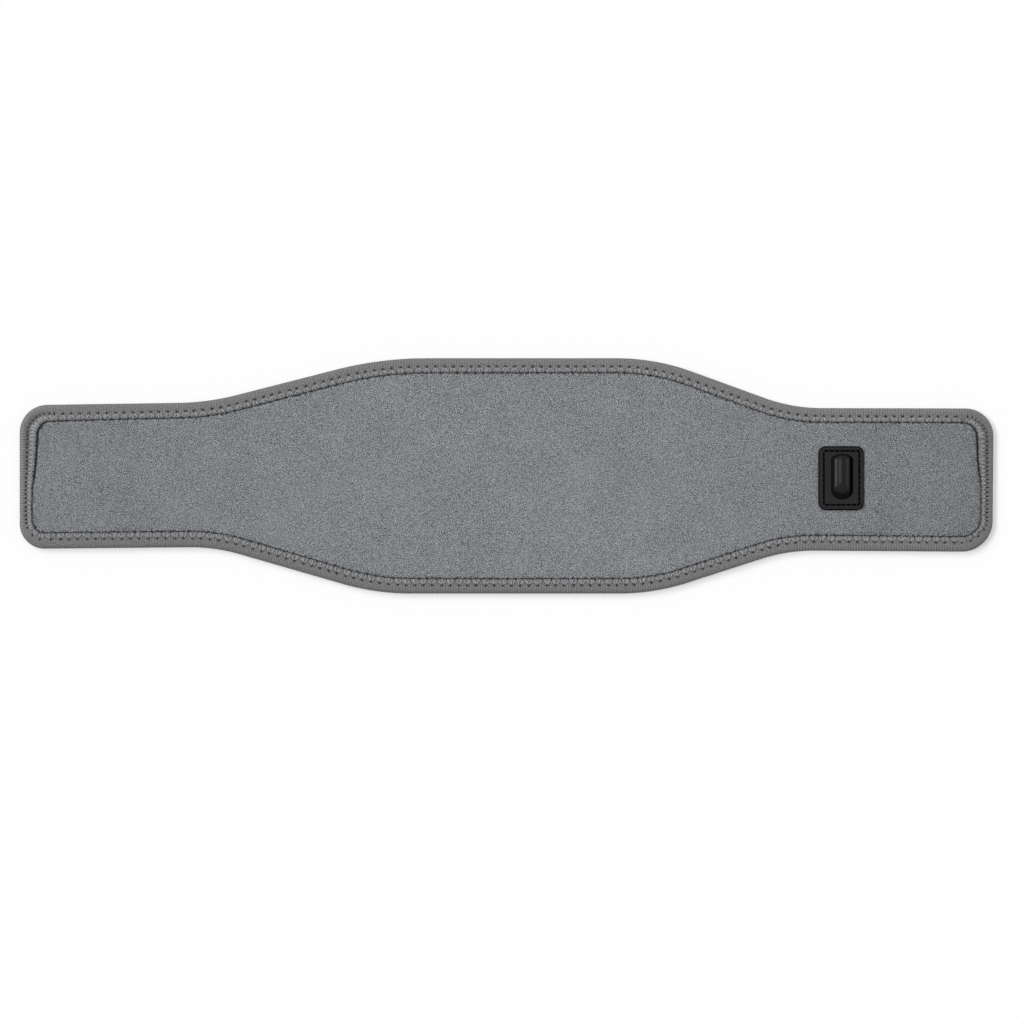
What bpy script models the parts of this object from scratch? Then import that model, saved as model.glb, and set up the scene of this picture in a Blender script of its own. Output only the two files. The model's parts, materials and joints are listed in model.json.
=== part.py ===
"""Heated back brace: a padded waist belt that lies flat with its plush face up.

The belt is a laminate of lining, foam core and plush face cloth, bound round its edge with a folded tape.
It is cut across at eight bend lines, so that each arm wraps in four steps round the waist (downwards here)
or lifts a little the other way. A sewn rubber patch near the right end holds the press dome of the heater's
control. Units are metres, +X runs along the belt, +Y is the wearer's up and +Z points out of the face.
"""

import math

import bmesh
import bpy
from mathutils import Matrix, Vector

MM = 0.001

# Outline of the belt; heights and places are measured from its middle
PANEL_HEIGHT = 235.4 * MM
LEFT_TIP_TOP = 71.5 * MM
LEFT_NECK_TOP = 73.5 * MM
LEFT_TIP_LOW = 73.0 * MM
LEFT_NECK_LOW = 71.2 * MM
RIGHT_TIP_TOP = 68.0 * MM
RIGHT_NECK_TOP = 67.9 * MM
RIGHT_TIP_LOW = 76.0 * MM
RIGHT_NECK_LOW = 74.6 * MM
LEFT_NECK_TOP_X = 299.0 * MM
LEFT_NECK_LOW_X = 291.7 * MM
RIGHT_NECK_TOP_X = 285.3 * MM
RIGHT_NECK_LOW_X = 280.9 * MM
LEFT_CROWN_TOP_X = 126.0 * MM
LEFT_CROWN_LOW_X = 130.7 * MM
RIGHT_CROWN_TOP_X = 148.5 * MM
RIGHT_CROWN_LOW_X = 147.2 * MM
LEFT_TIP_INNER_RADIUS = 9.4 * MM
RIGHT_TIP_TOP_INNER_RADIUS = 12.4 * MM
RIGHT_TIP_LOW_INNER_RADIUS = 15.4 * MM
LEFT_NECK_TOP_RADIUS = 250 * MM
LEFT_NECK_LOW_RADIUS = 176 * MM
RIGHT_NECK_RADIUS = 172 * MM
LEFT_CROWN_TOP_RADIUS = 360 * MM
LEFT_CROWN_LOW_RADIUS = 246 * MM
RIGHT_CROWN_RADIUS = 220 * MM

# Layers, from the body side up
CLEARANCE = 0.3 * MM
TAPE_THICKNESS = 1.2 * MM
TAPE_WIDTH = 14.6 * MM
TAPE_FOLD_DEPTH = 3.2 * MM
LINING_THICKNESS = 0.7 * MM
LINING_SWELL = 0.3 * MM
CORE_THICKNESS = 2.6 * MM
FACE_THICKNESS = 1.2 * MM
PILE_HEIGHT = 1.0 * MM

# Bend lines, as lengths of the stiff steps between them, and how far each may turn
PANEL_WIDTH = 190 * MM
ARM_STEP_1 = 95 * MM
ARM_STEP_2 = 95 * MM
ARM_STEP_3 = 100 * MM
TIP_STEP = 102 * MM
WRAP_LIMIT_DEG = 54
LIFT_LIMIT_DEG = 27
NOTCH_MARGIN_DEG = 1.5

# Hook panel under the right tip
HOOK_SETBACK = 11 * MM
HOOK_MARGIN = 5 * MM
HOOK_THICKNESS = 0.8 * MM
HOOK_CORNER_RADIUS = 6 * MM

# Control patch and its press dome on the face
PATCH_SETBACK = 49.8 * MM
PATCH_Y = -2.3 * MM
PATCH_SIDE = 11.8 * MM
PATCH_END = 9.2 * MM
PATCH_THICKNESS = 2.2 * MM
PATCH_CORNER_RADIUS = 5 * MM
PATCH_EDGE_ROUND = 0.7 * MM
SEAM_INSET = 5.0 * MM
SEAM_GROOVE_WIDTH = 1.9 * MM
SEAM_GROOVE_DEPTH = 0.8 * MM
SEAM_CORNER_RADIUS = 1.4 * MM
DOME_SHIFT_X = 0.8 * MM
DOME_SHIFT_Y = 1.6 * MM
DOME_WIDTH = 21.8 * MM
DOME_LENGTH = 45.4 * MM
DOME_RISE = 6.6 * MM
DOME_EDGE_ROUND = 6.4 * MM
DOME_LEAN = 2.2 * MM
DOME_WALL = 2.0 * MM
DOME_LIP = 1.6 * MM
DOME_LIP_THICKNESS = 0.8 * MM
PRESS_TRAVEL = 1.2 * MM

# Heater and control
FILM_SIDE_MARGIN = 25 * MM
FILM_EDGE_MARGIN = 42 * MM
FILM_THICKNESS = 0.4 * MM
CUTOUT_LENGTH = 11 * MM
CUTOUT_WIDTH = 7 * MM
CUTOUT_THICKNESS = 1.6 * MM
LEAD_WIDTH = 5 * MM
LEAD_THICKNESS = 1.0 * MM
BOARD_SIDE_MARGIN = 2.4 * MM
BOARD_END_MARGIN = 4.7 * MM
BOARD_THICKNESS = 1.0 * MM
SWITCH_SIZE = 6.2 * MM
SWITCH_HEIGHT = 2.0 * MM
PLUNGER_RADIUS = 1.7 * MM
PLUNGER_HEIGHT = 0.7 * MM
POST_RADIUS = 3.0 * MM

# How finely round shapes are cut into flats
TIP_ARC_STEPS = 9
FOLD_ARC_STEPS = 8
EDGE_ARC_STEPS = 5
CORNER_ARC_STEPS = 6
OBROUND_ARC_STEPS = 12
DOME_RING_STEPS = 7

# Heights of the layers
BELT_THICKNESS = 2 * TAPE_THICKNESS + LINING_THICKNESS + CORE_THICKNESS + FACE_THICKNESS + 4 * CLEARANCE
HINGE_Z = BELT_THICKNESS / 2
LINING_BOTTOM = TAPE_THICKNESS + CLEARANCE
LINING_OPEN_BOTTOM = LINING_BOTTOM - LINING_SWELL
LINING_TOP = LINING_BOTTOM + LINING_THICKNESS
CORE_BOTTOM = LINING_TOP + CLEARANCE
CORE_TOP = CORE_BOTTOM + CORE_THICKNESS
FACE_BOTTOM = CORE_TOP + CLEARANCE
FACE_MARGIN_TOP = FACE_BOTTOM + FACE_THICKNESS
FACE_TOP = FACE_MARGIN_TOP + PILE_HEIGHT
PATCH_BOTTOM = FACE_TOP + CLEARANCE
PATCH_TOP = PATCH_BOTTOM + PATCH_THICKNESS

# Places that follow from the sizes above
LAMINATE_INSET = TAPE_FOLD_DEPTH + CLEARANCE
OPEN_INSET = TAPE_WIDTH + CLEARANCE
HINGE_1 = PANEL_WIDTH / 2
HINGE_2 = HINGE_1 + ARM_STEP_1
HINGE_3 = HINGE_2 + ARM_STEP_2
HINGE_4 = HINGE_3 + ARM_STEP_3
BELT_LENGTH = 2 * (HINGE_4 + TIP_STEP)
LEFT_TIP_RADIUS = TAPE_WIDTH + LEFT_TIP_INNER_RADIUS
RIGHT_TIP_TOP_RADIUS = TAPE_WIDTH + RIGHT_TIP_TOP_INNER_RADIUS
RIGHT_TIP_LOW_RADIUS = TAPE_WIDTH + RIGHT_TIP_LOW_INNER_RADIUS
HOOK_START_X = HINGE_4 + HOOK_SETBACK
HOOK_END_X = BELT_LENGTH / 2 - OPEN_INSET - HOOK_MARGIN
HOOK_TOP_Y = RIGHT_TIP_TOP - OPEN_INSET - HOOK_MARGIN
HOOK_LOW_Y = -RIGHT_TIP_LOW + OPEN_INSET + HOOK_MARGIN
PATCH_X = HINGE_3 + PATCH_SETBACK
PATCH_WIDTH = DOME_WIDTH + 2 * PATCH_SIDE
PATCH_HEIGHT = DOME_LENGTH + 2 * PATCH_END
DOME_X = PATCH_X + DOME_SHIFT_X
DOME_Y = PATCH_Y + DOME_SHIFT_Y
DOME_HOLE = DOME_WIDTH + 2 * CLEARANCE
LIP_WIDTH = DOME_WIDTH + 2 * DOME_LIP
WELL_WIDTH = LIP_WIDTH + 4 * CLEARANCE
DOME_STRAIGHT = DOME_LENGTH - DOME_WIDTH
BOARD_WIDTH = DOME_WIDTH - 2 * BOARD_SIDE_MARGIN
BOARD_HEIGHT = DOME_LENGTH - 2 * BOARD_END_MARGIN
FILM_LENGTH = PANEL_WIDTH - 2 * FILM_SIDE_MARGIN
FILM_HEIGHT = PANEL_HEIGHT - 2 * FILM_EDGE_MARGIN
CUTOUT_X = FILM_LENGTH / 2 + CLEARANCE + CUTOUT_LENGTH / 2
LEAD_START_X = CUTOUT_X + CUTOUT_LENGTH / 2 + CLEARANCE
LEAD_END_X = DOME_X - BOARD_WIDTH / 2 - CLEARANCE
SWITCH_BOTTOM = CORE_BOTTOM + BOARD_THICKNESS + CLEARANCE
PLUNGER_TOP = SWITCH_BOTTOM + SWITCH_HEIGHT + PLUNGER_HEIGHT

# Each stiff step of the belt between its two bend lines, with None at the ends of the belt
STEPS = [
    ("left_tip", None, -HINGE_4),
    ("left_3", -HINGE_4, -HINGE_3),
    ("left_2", -HINGE_3, -HINGE_2),
    ("left_1", -HINGE_2, -HINGE_1),
    ("centre", -HINGE_1, HINGE_1),
    ("right_1", HINGE_1, HINGE_2),
    ("right_2", HINGE_2, HINGE_3),
    ("right_3", HINGE_3, HINGE_4),
    ("right_tip", HINGE_4, None),
]

LEAD_BODIES = ("centre", "right_1", "right_2", "right_3")
BODY_PARENTS = {
    "centre": None,
    "left_1": "centre", "left_2": "left_1", "left_3": "left_2", "left_tip": "left_3",
    "right_1": "centre", "right_2": "right_1", "right_3": "right_2", "right_tip": "right_3",
    "dome": "right_3",
}
JOINT_POINTS = {
    "centre": Vector((0, 0, 0)),
    "left_1": Vector((-HINGE_1, 0, HINGE_Z)),
    "left_2": Vector((-HINGE_2, 0, HINGE_Z)),
    "left_3": Vector((-HINGE_3, 0, HINGE_Z)),
    "left_tip": Vector((-HINGE_4, 0, HINGE_Z)),
    "right_1": Vector((HINGE_1, 0, HINGE_Z)),
    "right_2": Vector((HINGE_2, 0, HINGE_Z)),
    "right_3": Vector((HINGE_3, 0, HINGE_Z)),
    "right_tip": Vector((HINGE_4, 0, HINGE_Z)),
    "dome": Vector((DOME_X, DOME_Y, PATCH_BOTTOM)),
}

FINISHES = {
    "plush": ((0.205, 0.212, 0.225), 0.95),
    "foam": ((0.045, 0.045, 0.048), 0.9),
    "lining": ((0.11, 0.112, 0.118), 0.85),
    "tape": ((0.165, 0.163, 0.166), 0.8),
    "rubber": ((0.026, 0.026, 0.027), 0.45),
    "hook": ((0.03, 0.03, 0.032), 0.6),
    "film": ((0.04, 0.025, 0.012), 0.35),
    "lead": ((0.02, 0.02, 0.02), 0.5),
    "board": ((0.01, 0.09, 0.035), 0.4),
    "switch": ((0.02, 0.02, 0.022), 0.35),
}


def clear_scene():
    for obj in list(bpy.data.objects):
        bpy.data.objects.remove(obj, do_unlink=True)


def finish(name):
    """The material of that finish, made on first use."""
    found = bpy.data.materials.get(name)
    if found:
        return found
    color, roughness = FINISHES[name]
    made = bpy.data.materials.new(name)
    made.use_nodes = True
    shader = made.node_tree.nodes["Principled BSDF"]
    shader.inputs["Base Color"].default_value = (*color, 1)
    shader.inputs["Roughness"].default_value = roughness
    return made


def add_object(name, mesh, finish_name, body=None):
    """A named object in the scene, carried by its body's empty."""
    obj = bpy.data.objects.new(name, mesh)
    bpy.context.scene.collection.objects.link(obj)
    mesh.materials.append(finish(finish_name))
    if body:
        carry(obj, body)
    return obj


def carry(obj, body):
    empty = bpy.data.objects[body]
    obj.parent = empty
    obj.matrix_parent_inverse = Matrix.Translation(-JOINT_POINTS[body])


def mesh_from(bm, name):
    bmesh.ops.recalc_face_normals(bm, faces=bm.faces)
    mesh = bpy.data.meshes.new(name)
    bm.to_mesh(mesh)
    bm.free()
    return mesh


def filleted_loop(corners, steps):
    """Points and inward normals round a closed outline, given counter-clockwise.

    corners holds (x, y, radius) and steps the number of flats in each corner's arc.
    """
    path = []
    count = len(corners)
    for index, (x, y, radius) in enumerate(corners):
        corner = Vector((x, y))
        before = (Vector(corners[index - 1][:2]) - corner).normalized()
        after = (Vector(corners[(index + 1) % count][:2]) - corner).normalized()
        half = before.angle(after) / 2
        middle = (before + after).normalized()
        centre = corner + middle * (radius / math.sin(half))
        turn = 1 if before.cross(after) < 0 else -1
        first = (corner + before * (radius / math.tan(half)) - centre)
        sweep = turn * (math.pi - 2 * half)
        for step in range(steps[index] + 1):
            spoke = Matrix.Rotation(sweep * step / steps[index], 2) @ first
            path.append((centre + spoke, -turn * spoke.normalized()))
    return path


def inset(path, distance):
    return [point + normal * distance for point, normal in path]


def belt_path():
    """The outer edge of the belt, from the lower left tip and round to the right."""
    end = BELT_LENGTH / 2
    crown = PANEL_HEIGHT / 2
    corners = [
        (-end, -LEFT_TIP_LOW, LEFT_TIP_RADIUS),
        (-LEFT_NECK_LOW_X, -LEFT_NECK_LOW, LEFT_NECK_LOW_RADIUS),
        (-LEFT_CROWN_LOW_X, -crown, LEFT_CROWN_LOW_RADIUS),
        (RIGHT_CROWN_LOW_X, -crown, RIGHT_CROWN_RADIUS),
        (RIGHT_NECK_LOW_X, -RIGHT_NECK_LOW, RIGHT_NECK_RADIUS),
        (end, -RIGHT_TIP_LOW, RIGHT_TIP_LOW_RADIUS),
        (end, RIGHT_TIP_TOP, RIGHT_TIP_TOP_RADIUS),
        (RIGHT_NECK_TOP_X, RIGHT_NECK_TOP, RIGHT_NECK_RADIUS),
        (RIGHT_CROWN_TOP_X, crown, RIGHT_CROWN_RADIUS),
        (-LEFT_CROWN_TOP_X, crown, LEFT_CROWN_TOP_RADIUS),
        (-LEFT_NECK_TOP_X, LEFT_NECK_TOP, LEFT_NECK_TOP_RADIUS),
        (-end, LEFT_TIP_TOP, LEFT_TIP_RADIUS),
    ]
    steps = [TIP_ARC_STEPS if abs(x) == end else EDGE_ARC_STEPS for x, _, _ in corners]
    return filleted_loop(corners, steps)


def rect_loop(x, y, width, height, radius):
    corners = [
        (x - width / 2, y - height / 2, radius),
        (x + width / 2, y - height / 2, radius),
        (x + width / 2, y + height / 2, radius),
        (x - width / 2, y + height / 2, radius),
    ]
    return inset(filleted_loop(corners, [CORNER_ARC_STEPS] * 4), 0)


def obround_loop(x, y, width, straight):
    """A slot shape with its straight sides along Y."""
    loop = []
    for end, start_angle in ((1, 0), (-1, math.pi)):
        for step in range(OBROUND_ARC_STEPS + 1):
            angle = start_angle + math.pi * step / OBROUND_ARC_STEPS
            spoke = Vector((math.cos(angle), math.sin(angle))) * width / 2
            loop.append(Vector((x, y + end * straight / 2)) + spoke)
    return loop


def stack(rings):
    """A closed solid through (loop, z) rings with as many points each, capped at both ends."""
    bm = bmesh.new()
    layers = [[bm.verts.new((p.x, p.y, z)) for p in loop] for loop, z in rings]
    count = len(layers[0])
    bm.faces.new(reversed(layers[0]))
    bm.faces.new(layers[-1])
    for low, high in zip(layers, layers[1:]):
        for i in range(count):
            j = (i + 1) % count
            bm.faces.new((low[i], low[j], high[j], high[i]))
    return bm


def plate(loop, bottom, top):
    return stack([(loop, bottom), (loop, top)])


def block(x0, x1, y0, y1, z0, z1):
    loop = [Vector(p) for p in ((x0, y0), (x1, y0), (x1, y1), (x0, y1))]
    return plate(loop, z0, z1)


def swept_tape(path):
    """The folded binding: a C-shaped section carried round the whole edge."""
    half = BELT_THICKNESS / 2
    section = [(TAPE_WIDTH, 0)]
    for step in range(FOLD_ARC_STEPS + 1):
        angle = math.pi * step / FOLD_ARC_STEPS
        section.append((TAPE_FOLD_DEPTH * (1 - math.sin(angle)), half * (1 - math.cos(angle))))
    section += [(TAPE_WIDTH, BELT_THICKNESS), (TAPE_WIDTH, BELT_THICKNESS - TAPE_THICKNESS)]
    section += [(TAPE_FOLD_DEPTH, BELT_THICKNESS - TAPE_THICKNESS), (TAPE_FOLD_DEPTH, TAPE_THICKNESS)]
    section += [(TAPE_WIDTH, TAPE_THICKNESS)]
    bm = bmesh.new()
    rows = [[bm.verts.new((p.x, p.y, z)) for p in inset(path, depth)] for depth, z in section]
    count = len(path)
    for k, row in enumerate(rows):
        other = rows[(k + 1) % len(rows)]
        for i in range(count):
            j = (i + 1) % count
            bm.faces.new((row[i], row[j], other[j], other[i]))
    return bm


def keep_side(bm, point, outward):
    """Cut a closed solid with a plane and keep what lies behind it."""
    geometry = bm.verts[:] + bm.edges[:] + bm.faces[:]
    bmesh.ops.bisect_plane(bm, geom=geometry, plane_co=point, plane_no=outward, clear_outer=True)
    open_edges = [edge for edge in bm.edges if edge.is_boundary]
    if open_edges:
        bmesh.ops.holes_fill(bm, edges=open_edges, sides=0)


def cut_step(solid, start, stop):
    """A copy of the solid between two bend lines, its ends bevelled so that both bends stay clear."""
    bm = solid.copy()
    lift = math.tan(math.radians(LIFT_LIMIT_DEG / 2 + NOTCH_MARGIN_DEG))
    wrap = math.tan(math.radians(WRAP_LIMIT_DEG / 2 + NOTCH_MARGIN_DEG))
    for line, way in ((start, -1), (stop, 1)):
        if line is None:
            continue
        edge = Vector((line - way * CLEARANCE / 2, 0, HINGE_Z))
        keep_side(bm, edge, Vector((way, 0, lift)))
        keep_side(bm, edge, Vector((way, 0, -wrap)))
    return bm


def add_cutter(name, bm):
    cutter = bpy.data.objects.new(name, mesh_from(bm, name))
    bpy.context.scene.collection.objects.link(cutter)
    cutter.hide_render = True
    cutter.display_type = "WIRE"
    return cutter


def apply_boolean(obj, tool, operation="DIFFERENCE"):
    modifier = obj.modifiers.new(tool.name, "BOOLEAN")
    modifier.operation = operation
    modifier.object = tool


def add_bodies():
    """One empty for each stiff step and for the dome, set on the joint that carries it."""
    for body, parent in BODY_PARENTS.items():
        empty = bpy.data.objects.new(body, None)
        bpy.context.scene.collection.objects.link(empty)
        origin = Vector((0, 0, 0))
        if parent:
            empty.parent = bpy.data.objects[parent]
            origin = JOINT_POINTS[parent]
        empty.location = JOINT_POINTS[body] - origin


def add_laminate(path):
    outer = inset(path, LAMINATE_INSET)
    opened = inset(path, OPEN_INSET)
    lining = stack([
        (opened, LINING_OPEN_BOTTOM), (opened, LINING_BOTTOM), (outer, LINING_BOTTOM), (outer, LINING_TOP)])
    core = plate(outer, CORE_BOTTOM, CORE_TOP)
    face = stack([
        (outer, FACE_BOTTOM), (outer, FACE_MARGIN_TOP), (opened, FACE_MARGIN_TOP), (opened, FACE_TOP)])
    layers = (("lining", lining, "lining"), ("core", core, "foam"), ("face", face, "plush"))
    for layer, solid, finish_name in layers:
        bmesh.ops.recalc_face_normals(solid, faces=solid.faces)
        for body, start, stop in STEPS:
            name = f"{layer}_{body}"
            add_object(name, mesh_from(cut_step(solid, start, stop), name), finish_name, body)
        solid.free()


def add_binding(path):
    tape = swept_tape(path)
    bmesh.ops.recalc_face_normals(tape, faces=tape.faces)
    for body, start, stop in STEPS:
        if start is None or stop is None:
            name = f"binding_{body}"
            add_object(name, mesh_from(cut_step(tape, start, stop), name), "tape", body)
            continue
        for side, away in (("top", -1), ("low", 1)):
            name = f"binding_{side}_{body}"
            strip = cut_step(tape, start, stop)
            keep_side(strip, Vector((0, 0, 0)), Vector((0, away, 0)))
            add_object(name, mesh_from(strip, name), "tape", body)
    tape.free()


def add_hook_panel():
    loop = rect_loop(
        (HOOK_START_X + HOOK_END_X) / 2, (HOOK_TOP_Y + HOOK_LOW_Y) / 2,
        HOOK_END_X - HOOK_START_X, HOOK_TOP_Y - HOOK_LOW_Y, HOOK_CORNER_RADIUS)
    top = LINING_OPEN_BOTTOM - CLEARANCE
    panel = plate(loop, top - HOOK_THICKNESS, top)
    add_object("hook_panel", mesh_from(panel, "hook_panel"), "hook", "right_tip")


def add_heater():
    """The heating film, its thermal cut-out and the flat lead, laid in pockets under the foam."""
    half_length = FILM_LENGTH / 2
    half_height = FILM_HEIGHT / 2
    film = block(
        -half_length, half_length, -half_height, half_height,
        CORE_BOTTOM, CORE_BOTTOM + FILM_THICKNESS)
    add_object("heating_film", mesh_from(film, "heating_film"), "film", "centre")
    loop = rect_loop(CUTOUT_X, DOME_Y, CUTOUT_LENGTH, CUTOUT_WIDTH, CUTOUT_WIDTH / 4)
    cutout = plate(loop, CORE_BOTTOM, CORE_BOTTOM + CUTOUT_THICKNESS)
    add_object("thermal_cutout", mesh_from(cutout, "thermal_cutout"), "switch", "centre")
    half_lead = LEAD_WIDTH / 2
    lead = block(
        LEAD_START_X, LEAD_END_X, DOME_Y - half_lead, DOME_Y + half_lead,
        CORE_BOTTOM, CORE_BOTTOM + LEAD_THICKNESS)
    bmesh.ops.recalc_face_normals(lead, faces=lead.faces)
    for body, start, stop in STEPS:
        if body in LEAD_BODIES:
            name = f"lead_{body}"
            add_object(name, mesh_from(cut_step(lead, start, stop), name), "lead", body)
    lead.free()
    cut_heater_pockets(half_length, half_height, half_lead)


def cut_heater_pockets(half_length, half_height, half_lead):
    below = CORE_BOTTOM - CLEARANCE
    gap = CLEARANCE
    film_pocket = add_cutter("film_pocket", block(
        -half_length - gap, half_length + gap, -half_height - gap, half_height + gap,
        below, CORE_BOTTOM + FILM_THICKNESS + gap))
    cutout_pocket = add_cutter("cutout_pocket", block(
        half_length, LEAD_START_X, DOME_Y - CUTOUT_WIDTH / 2 - gap, DOME_Y + CUTOUT_WIDTH / 2 + gap,
        below, CORE_BOTTOM + CUTOUT_THICKNESS + gap))
    channel = add_cutter("lead_channel", block(
        LEAD_START_X - 2 * gap, LEAD_END_X, DOME_Y - half_lead - gap, DOME_Y + half_lead + gap,
        below, CORE_BOTTOM + LEAD_THICKNESS + gap))
    centre_core = bpy.data.objects["core_centre"]
    apply_boolean(centre_core, film_pocket)
    apply_boolean(centre_core, cutout_pocket)
    for body in LEAD_BODIES:
        apply_boolean(bpy.data.objects[f"core_{body}"], channel)


def add_control_patch():
    """The sewn rubber frame: a rounded plate with a seam groove and a slot for the dome."""
    rings = []
    for lift, draw_in in ((0, 0), (1, 0), (2, 0.3), (3, 1)):
        height = PATCH_BOTTOM if lift == 0 else PATCH_TOP - PATCH_EDGE_ROUND * (3 - lift) / 2
        rings.append((patch_loop(PATCH_EDGE_ROUND * draw_in, PATCH_CORNER_RADIUS), height))
    half_groove = SEAM_GROOVE_WIDTH / 2
    floor = PATCH_TOP - SEAM_GROOVE_DEPTH
    for depth, height in (
            (SEAM_INSET - half_groove, PATCH_TOP), (SEAM_INSET - half_groove / 2, floor),
            (SEAM_INSET + half_groove / 2, floor), (SEAM_INSET + half_groove, PATCH_TOP)):
        rings.append((patch_loop(depth, SEAM_CORNER_RADIUS), height))
    patch = add_object("control_patch", mesh_from(stack(rings), "control_patch"), "rubber", "right_3")
    slot = obround_loop(DOME_X, DOME_Y, DOME_HOLE, DOME_STRAIGHT)
    apply_boolean(patch, add_cutter("dome_slot", plate(slot, FACE_BOTTOM, PATCH_TOP + PATCH_THICKNESS)))
    rebate = obround_loop(DOME_X, DOME_Y, WELL_WIDTH, DOME_STRAIGHT)
    lip_seat = PATCH_BOTTOM + DOME_LIP_THICKNESS + CLEARANCE
    well = add_cutter("control_well", plate(rebate, CORE_BOTTOM - CLEARANCE, lip_seat))
    for name in ("control_patch", "face_right_3", "core_right_3"):
        apply_boolean(bpy.data.objects[name], well)


def patch_loop(depth, radius):
    return rect_loop(PATCH_X, PATCH_Y, PATCH_WIDTH - 2 * depth, PATCH_HEIGHT - 2 * depth, radius)


def dome_ring(draw_in, share):
    """A ring of the dome's skin: draw_in from its side, leaning up the belt as it rises."""
    return obround_loop(DOME_X, DOME_Y + DOME_LEAN * share / 2, DOME_WIDTH - 2 * draw_in,
                        DOME_STRAIGHT - DOME_LEAN * share)


def add_press_dome():
    """The hollow rubber dome, with a lip that the patch holds down and a post over the switch."""
    lip_bottom = PATCH_BOTTOM
    lip_top = lip_bottom + DOME_LIP_THICKNESS
    lip = obround_loop(DOME_X, DOME_Y, LIP_WIDTH, DOME_STRAIGHT)
    ceiling = PATCH_TOP + DOME_RISE - DOME_WALL
    rings = [(dome_ring(DOME_EDGE_ROUND, 1), ceiling), (dome_ring(DOME_WALL, 0), PATCH_TOP)]
    rings += [(dome_ring(DOME_WALL, 0), lip_bottom), (lip, lip_bottom), (lip, lip_top)]
    rings += [(dome_ring(0, 0), lip_top)]
    for step in range(DOME_RING_STEPS + 1):
        angle = math.pi / 2 * step / DOME_RING_STEPS
        share = 1 - math.cos(angle)
        rings.append((dome_ring(DOME_EDGE_ROUND * share, share), PATCH_TOP + DOME_RISE * math.sin(angle)))
    dome = add_object("press_dome", mesh_from(stack(rings), "press_dome"), "rubber", "dome")
    dome.data.shade_smooth()
    foot = PLUNGER_TOP + PRESS_TRAVEL + CLEARANCE
    post = bmesh.new()
    depth = ceiling + DOME_WALL / 2 - foot
    bmesh.ops.create_cone(
        post, cap_ends=True, segments=2 * OBROUND_ARC_STEPS, radius1=POST_RADIUS, radius2=POST_RADIUS,
        depth=depth, matrix=Matrix.Translation((DOME_X, DOME_Y, foot + depth / 2)))
    apply_boolean(dome, add_cutter("dome_post", post), "UNION")


def add_control_board():
    board = block(
        DOME_X - BOARD_WIDTH / 2, DOME_X + BOARD_WIDTH / 2,
        DOME_Y - BOARD_HEIGHT / 2, DOME_Y + BOARD_HEIGHT / 2,
        CORE_BOTTOM, CORE_BOTTOM + BOARD_THICKNESS)
    add_object("control_board", mesh_from(board, "control_board"), "board", "right_3")
    case = rect_loop(DOME_X, DOME_Y, SWITCH_SIZE, SWITCH_SIZE, SWITCH_SIZE / 8)
    corner = PLUNGER_RADIUS * 0.99
    plunger = rect_loop(DOME_X, DOME_Y, 2 * PLUNGER_RADIUS, 2 * PLUNGER_RADIUS, corner)
    top = SWITCH_BOTTOM + SWITCH_HEIGHT
    switch = stack([(case, SWITCH_BOTTOM), (case, top), (plunger, top), (plunger, PLUNGER_TOP)])
    add_object("push_switch", mesh_from(switch, "push_switch"), "switch", "right_3")


def main():
    clear_scene()
    add_bodies()
    path = belt_path()
    add_laminate(path)
    add_binding(path)
    add_hook_panel()
    add_heater()
    add_control_patch()
    add_press_dome()
    add_control_board()


main()
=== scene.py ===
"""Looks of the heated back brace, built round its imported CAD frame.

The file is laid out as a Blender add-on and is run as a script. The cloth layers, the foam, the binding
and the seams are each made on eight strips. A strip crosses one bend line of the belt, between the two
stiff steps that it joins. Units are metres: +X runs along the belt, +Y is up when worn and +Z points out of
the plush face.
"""

import json
import math
from typing import NamedTuple

import bmesh
import bpy
import numpy as np
from bpy.props import FloatProperty, FloatVectorProperty, PointerProperty
from mathutils import Matrix, Vector, noise
from mathutils.kdtree import KDTree

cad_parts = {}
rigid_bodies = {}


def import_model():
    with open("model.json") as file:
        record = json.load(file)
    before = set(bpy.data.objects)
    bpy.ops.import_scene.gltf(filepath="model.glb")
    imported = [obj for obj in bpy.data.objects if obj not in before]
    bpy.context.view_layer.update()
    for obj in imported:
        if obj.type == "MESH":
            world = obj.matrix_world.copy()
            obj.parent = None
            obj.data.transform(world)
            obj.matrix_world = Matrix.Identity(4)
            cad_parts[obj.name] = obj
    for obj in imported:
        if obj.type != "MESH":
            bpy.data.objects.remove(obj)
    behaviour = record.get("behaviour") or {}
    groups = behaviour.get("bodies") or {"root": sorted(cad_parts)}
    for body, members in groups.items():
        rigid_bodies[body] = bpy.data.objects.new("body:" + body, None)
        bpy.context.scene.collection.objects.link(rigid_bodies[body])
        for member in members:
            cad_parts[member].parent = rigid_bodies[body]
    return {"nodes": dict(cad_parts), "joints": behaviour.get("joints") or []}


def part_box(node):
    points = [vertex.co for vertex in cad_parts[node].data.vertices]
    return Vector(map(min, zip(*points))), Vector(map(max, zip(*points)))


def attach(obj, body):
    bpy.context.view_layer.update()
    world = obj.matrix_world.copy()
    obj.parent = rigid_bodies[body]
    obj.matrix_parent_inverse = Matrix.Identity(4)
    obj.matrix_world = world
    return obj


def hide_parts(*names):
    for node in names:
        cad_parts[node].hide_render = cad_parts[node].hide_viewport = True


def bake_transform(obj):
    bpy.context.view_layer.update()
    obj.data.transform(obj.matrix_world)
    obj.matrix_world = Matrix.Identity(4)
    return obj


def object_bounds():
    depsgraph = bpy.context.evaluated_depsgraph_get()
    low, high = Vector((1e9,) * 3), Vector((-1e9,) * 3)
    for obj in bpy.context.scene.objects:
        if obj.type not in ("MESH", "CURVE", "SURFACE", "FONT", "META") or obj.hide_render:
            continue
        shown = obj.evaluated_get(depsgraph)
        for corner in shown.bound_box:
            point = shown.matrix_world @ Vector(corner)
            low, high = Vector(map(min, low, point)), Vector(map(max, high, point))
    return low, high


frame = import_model()
CAD_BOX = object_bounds()

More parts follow.
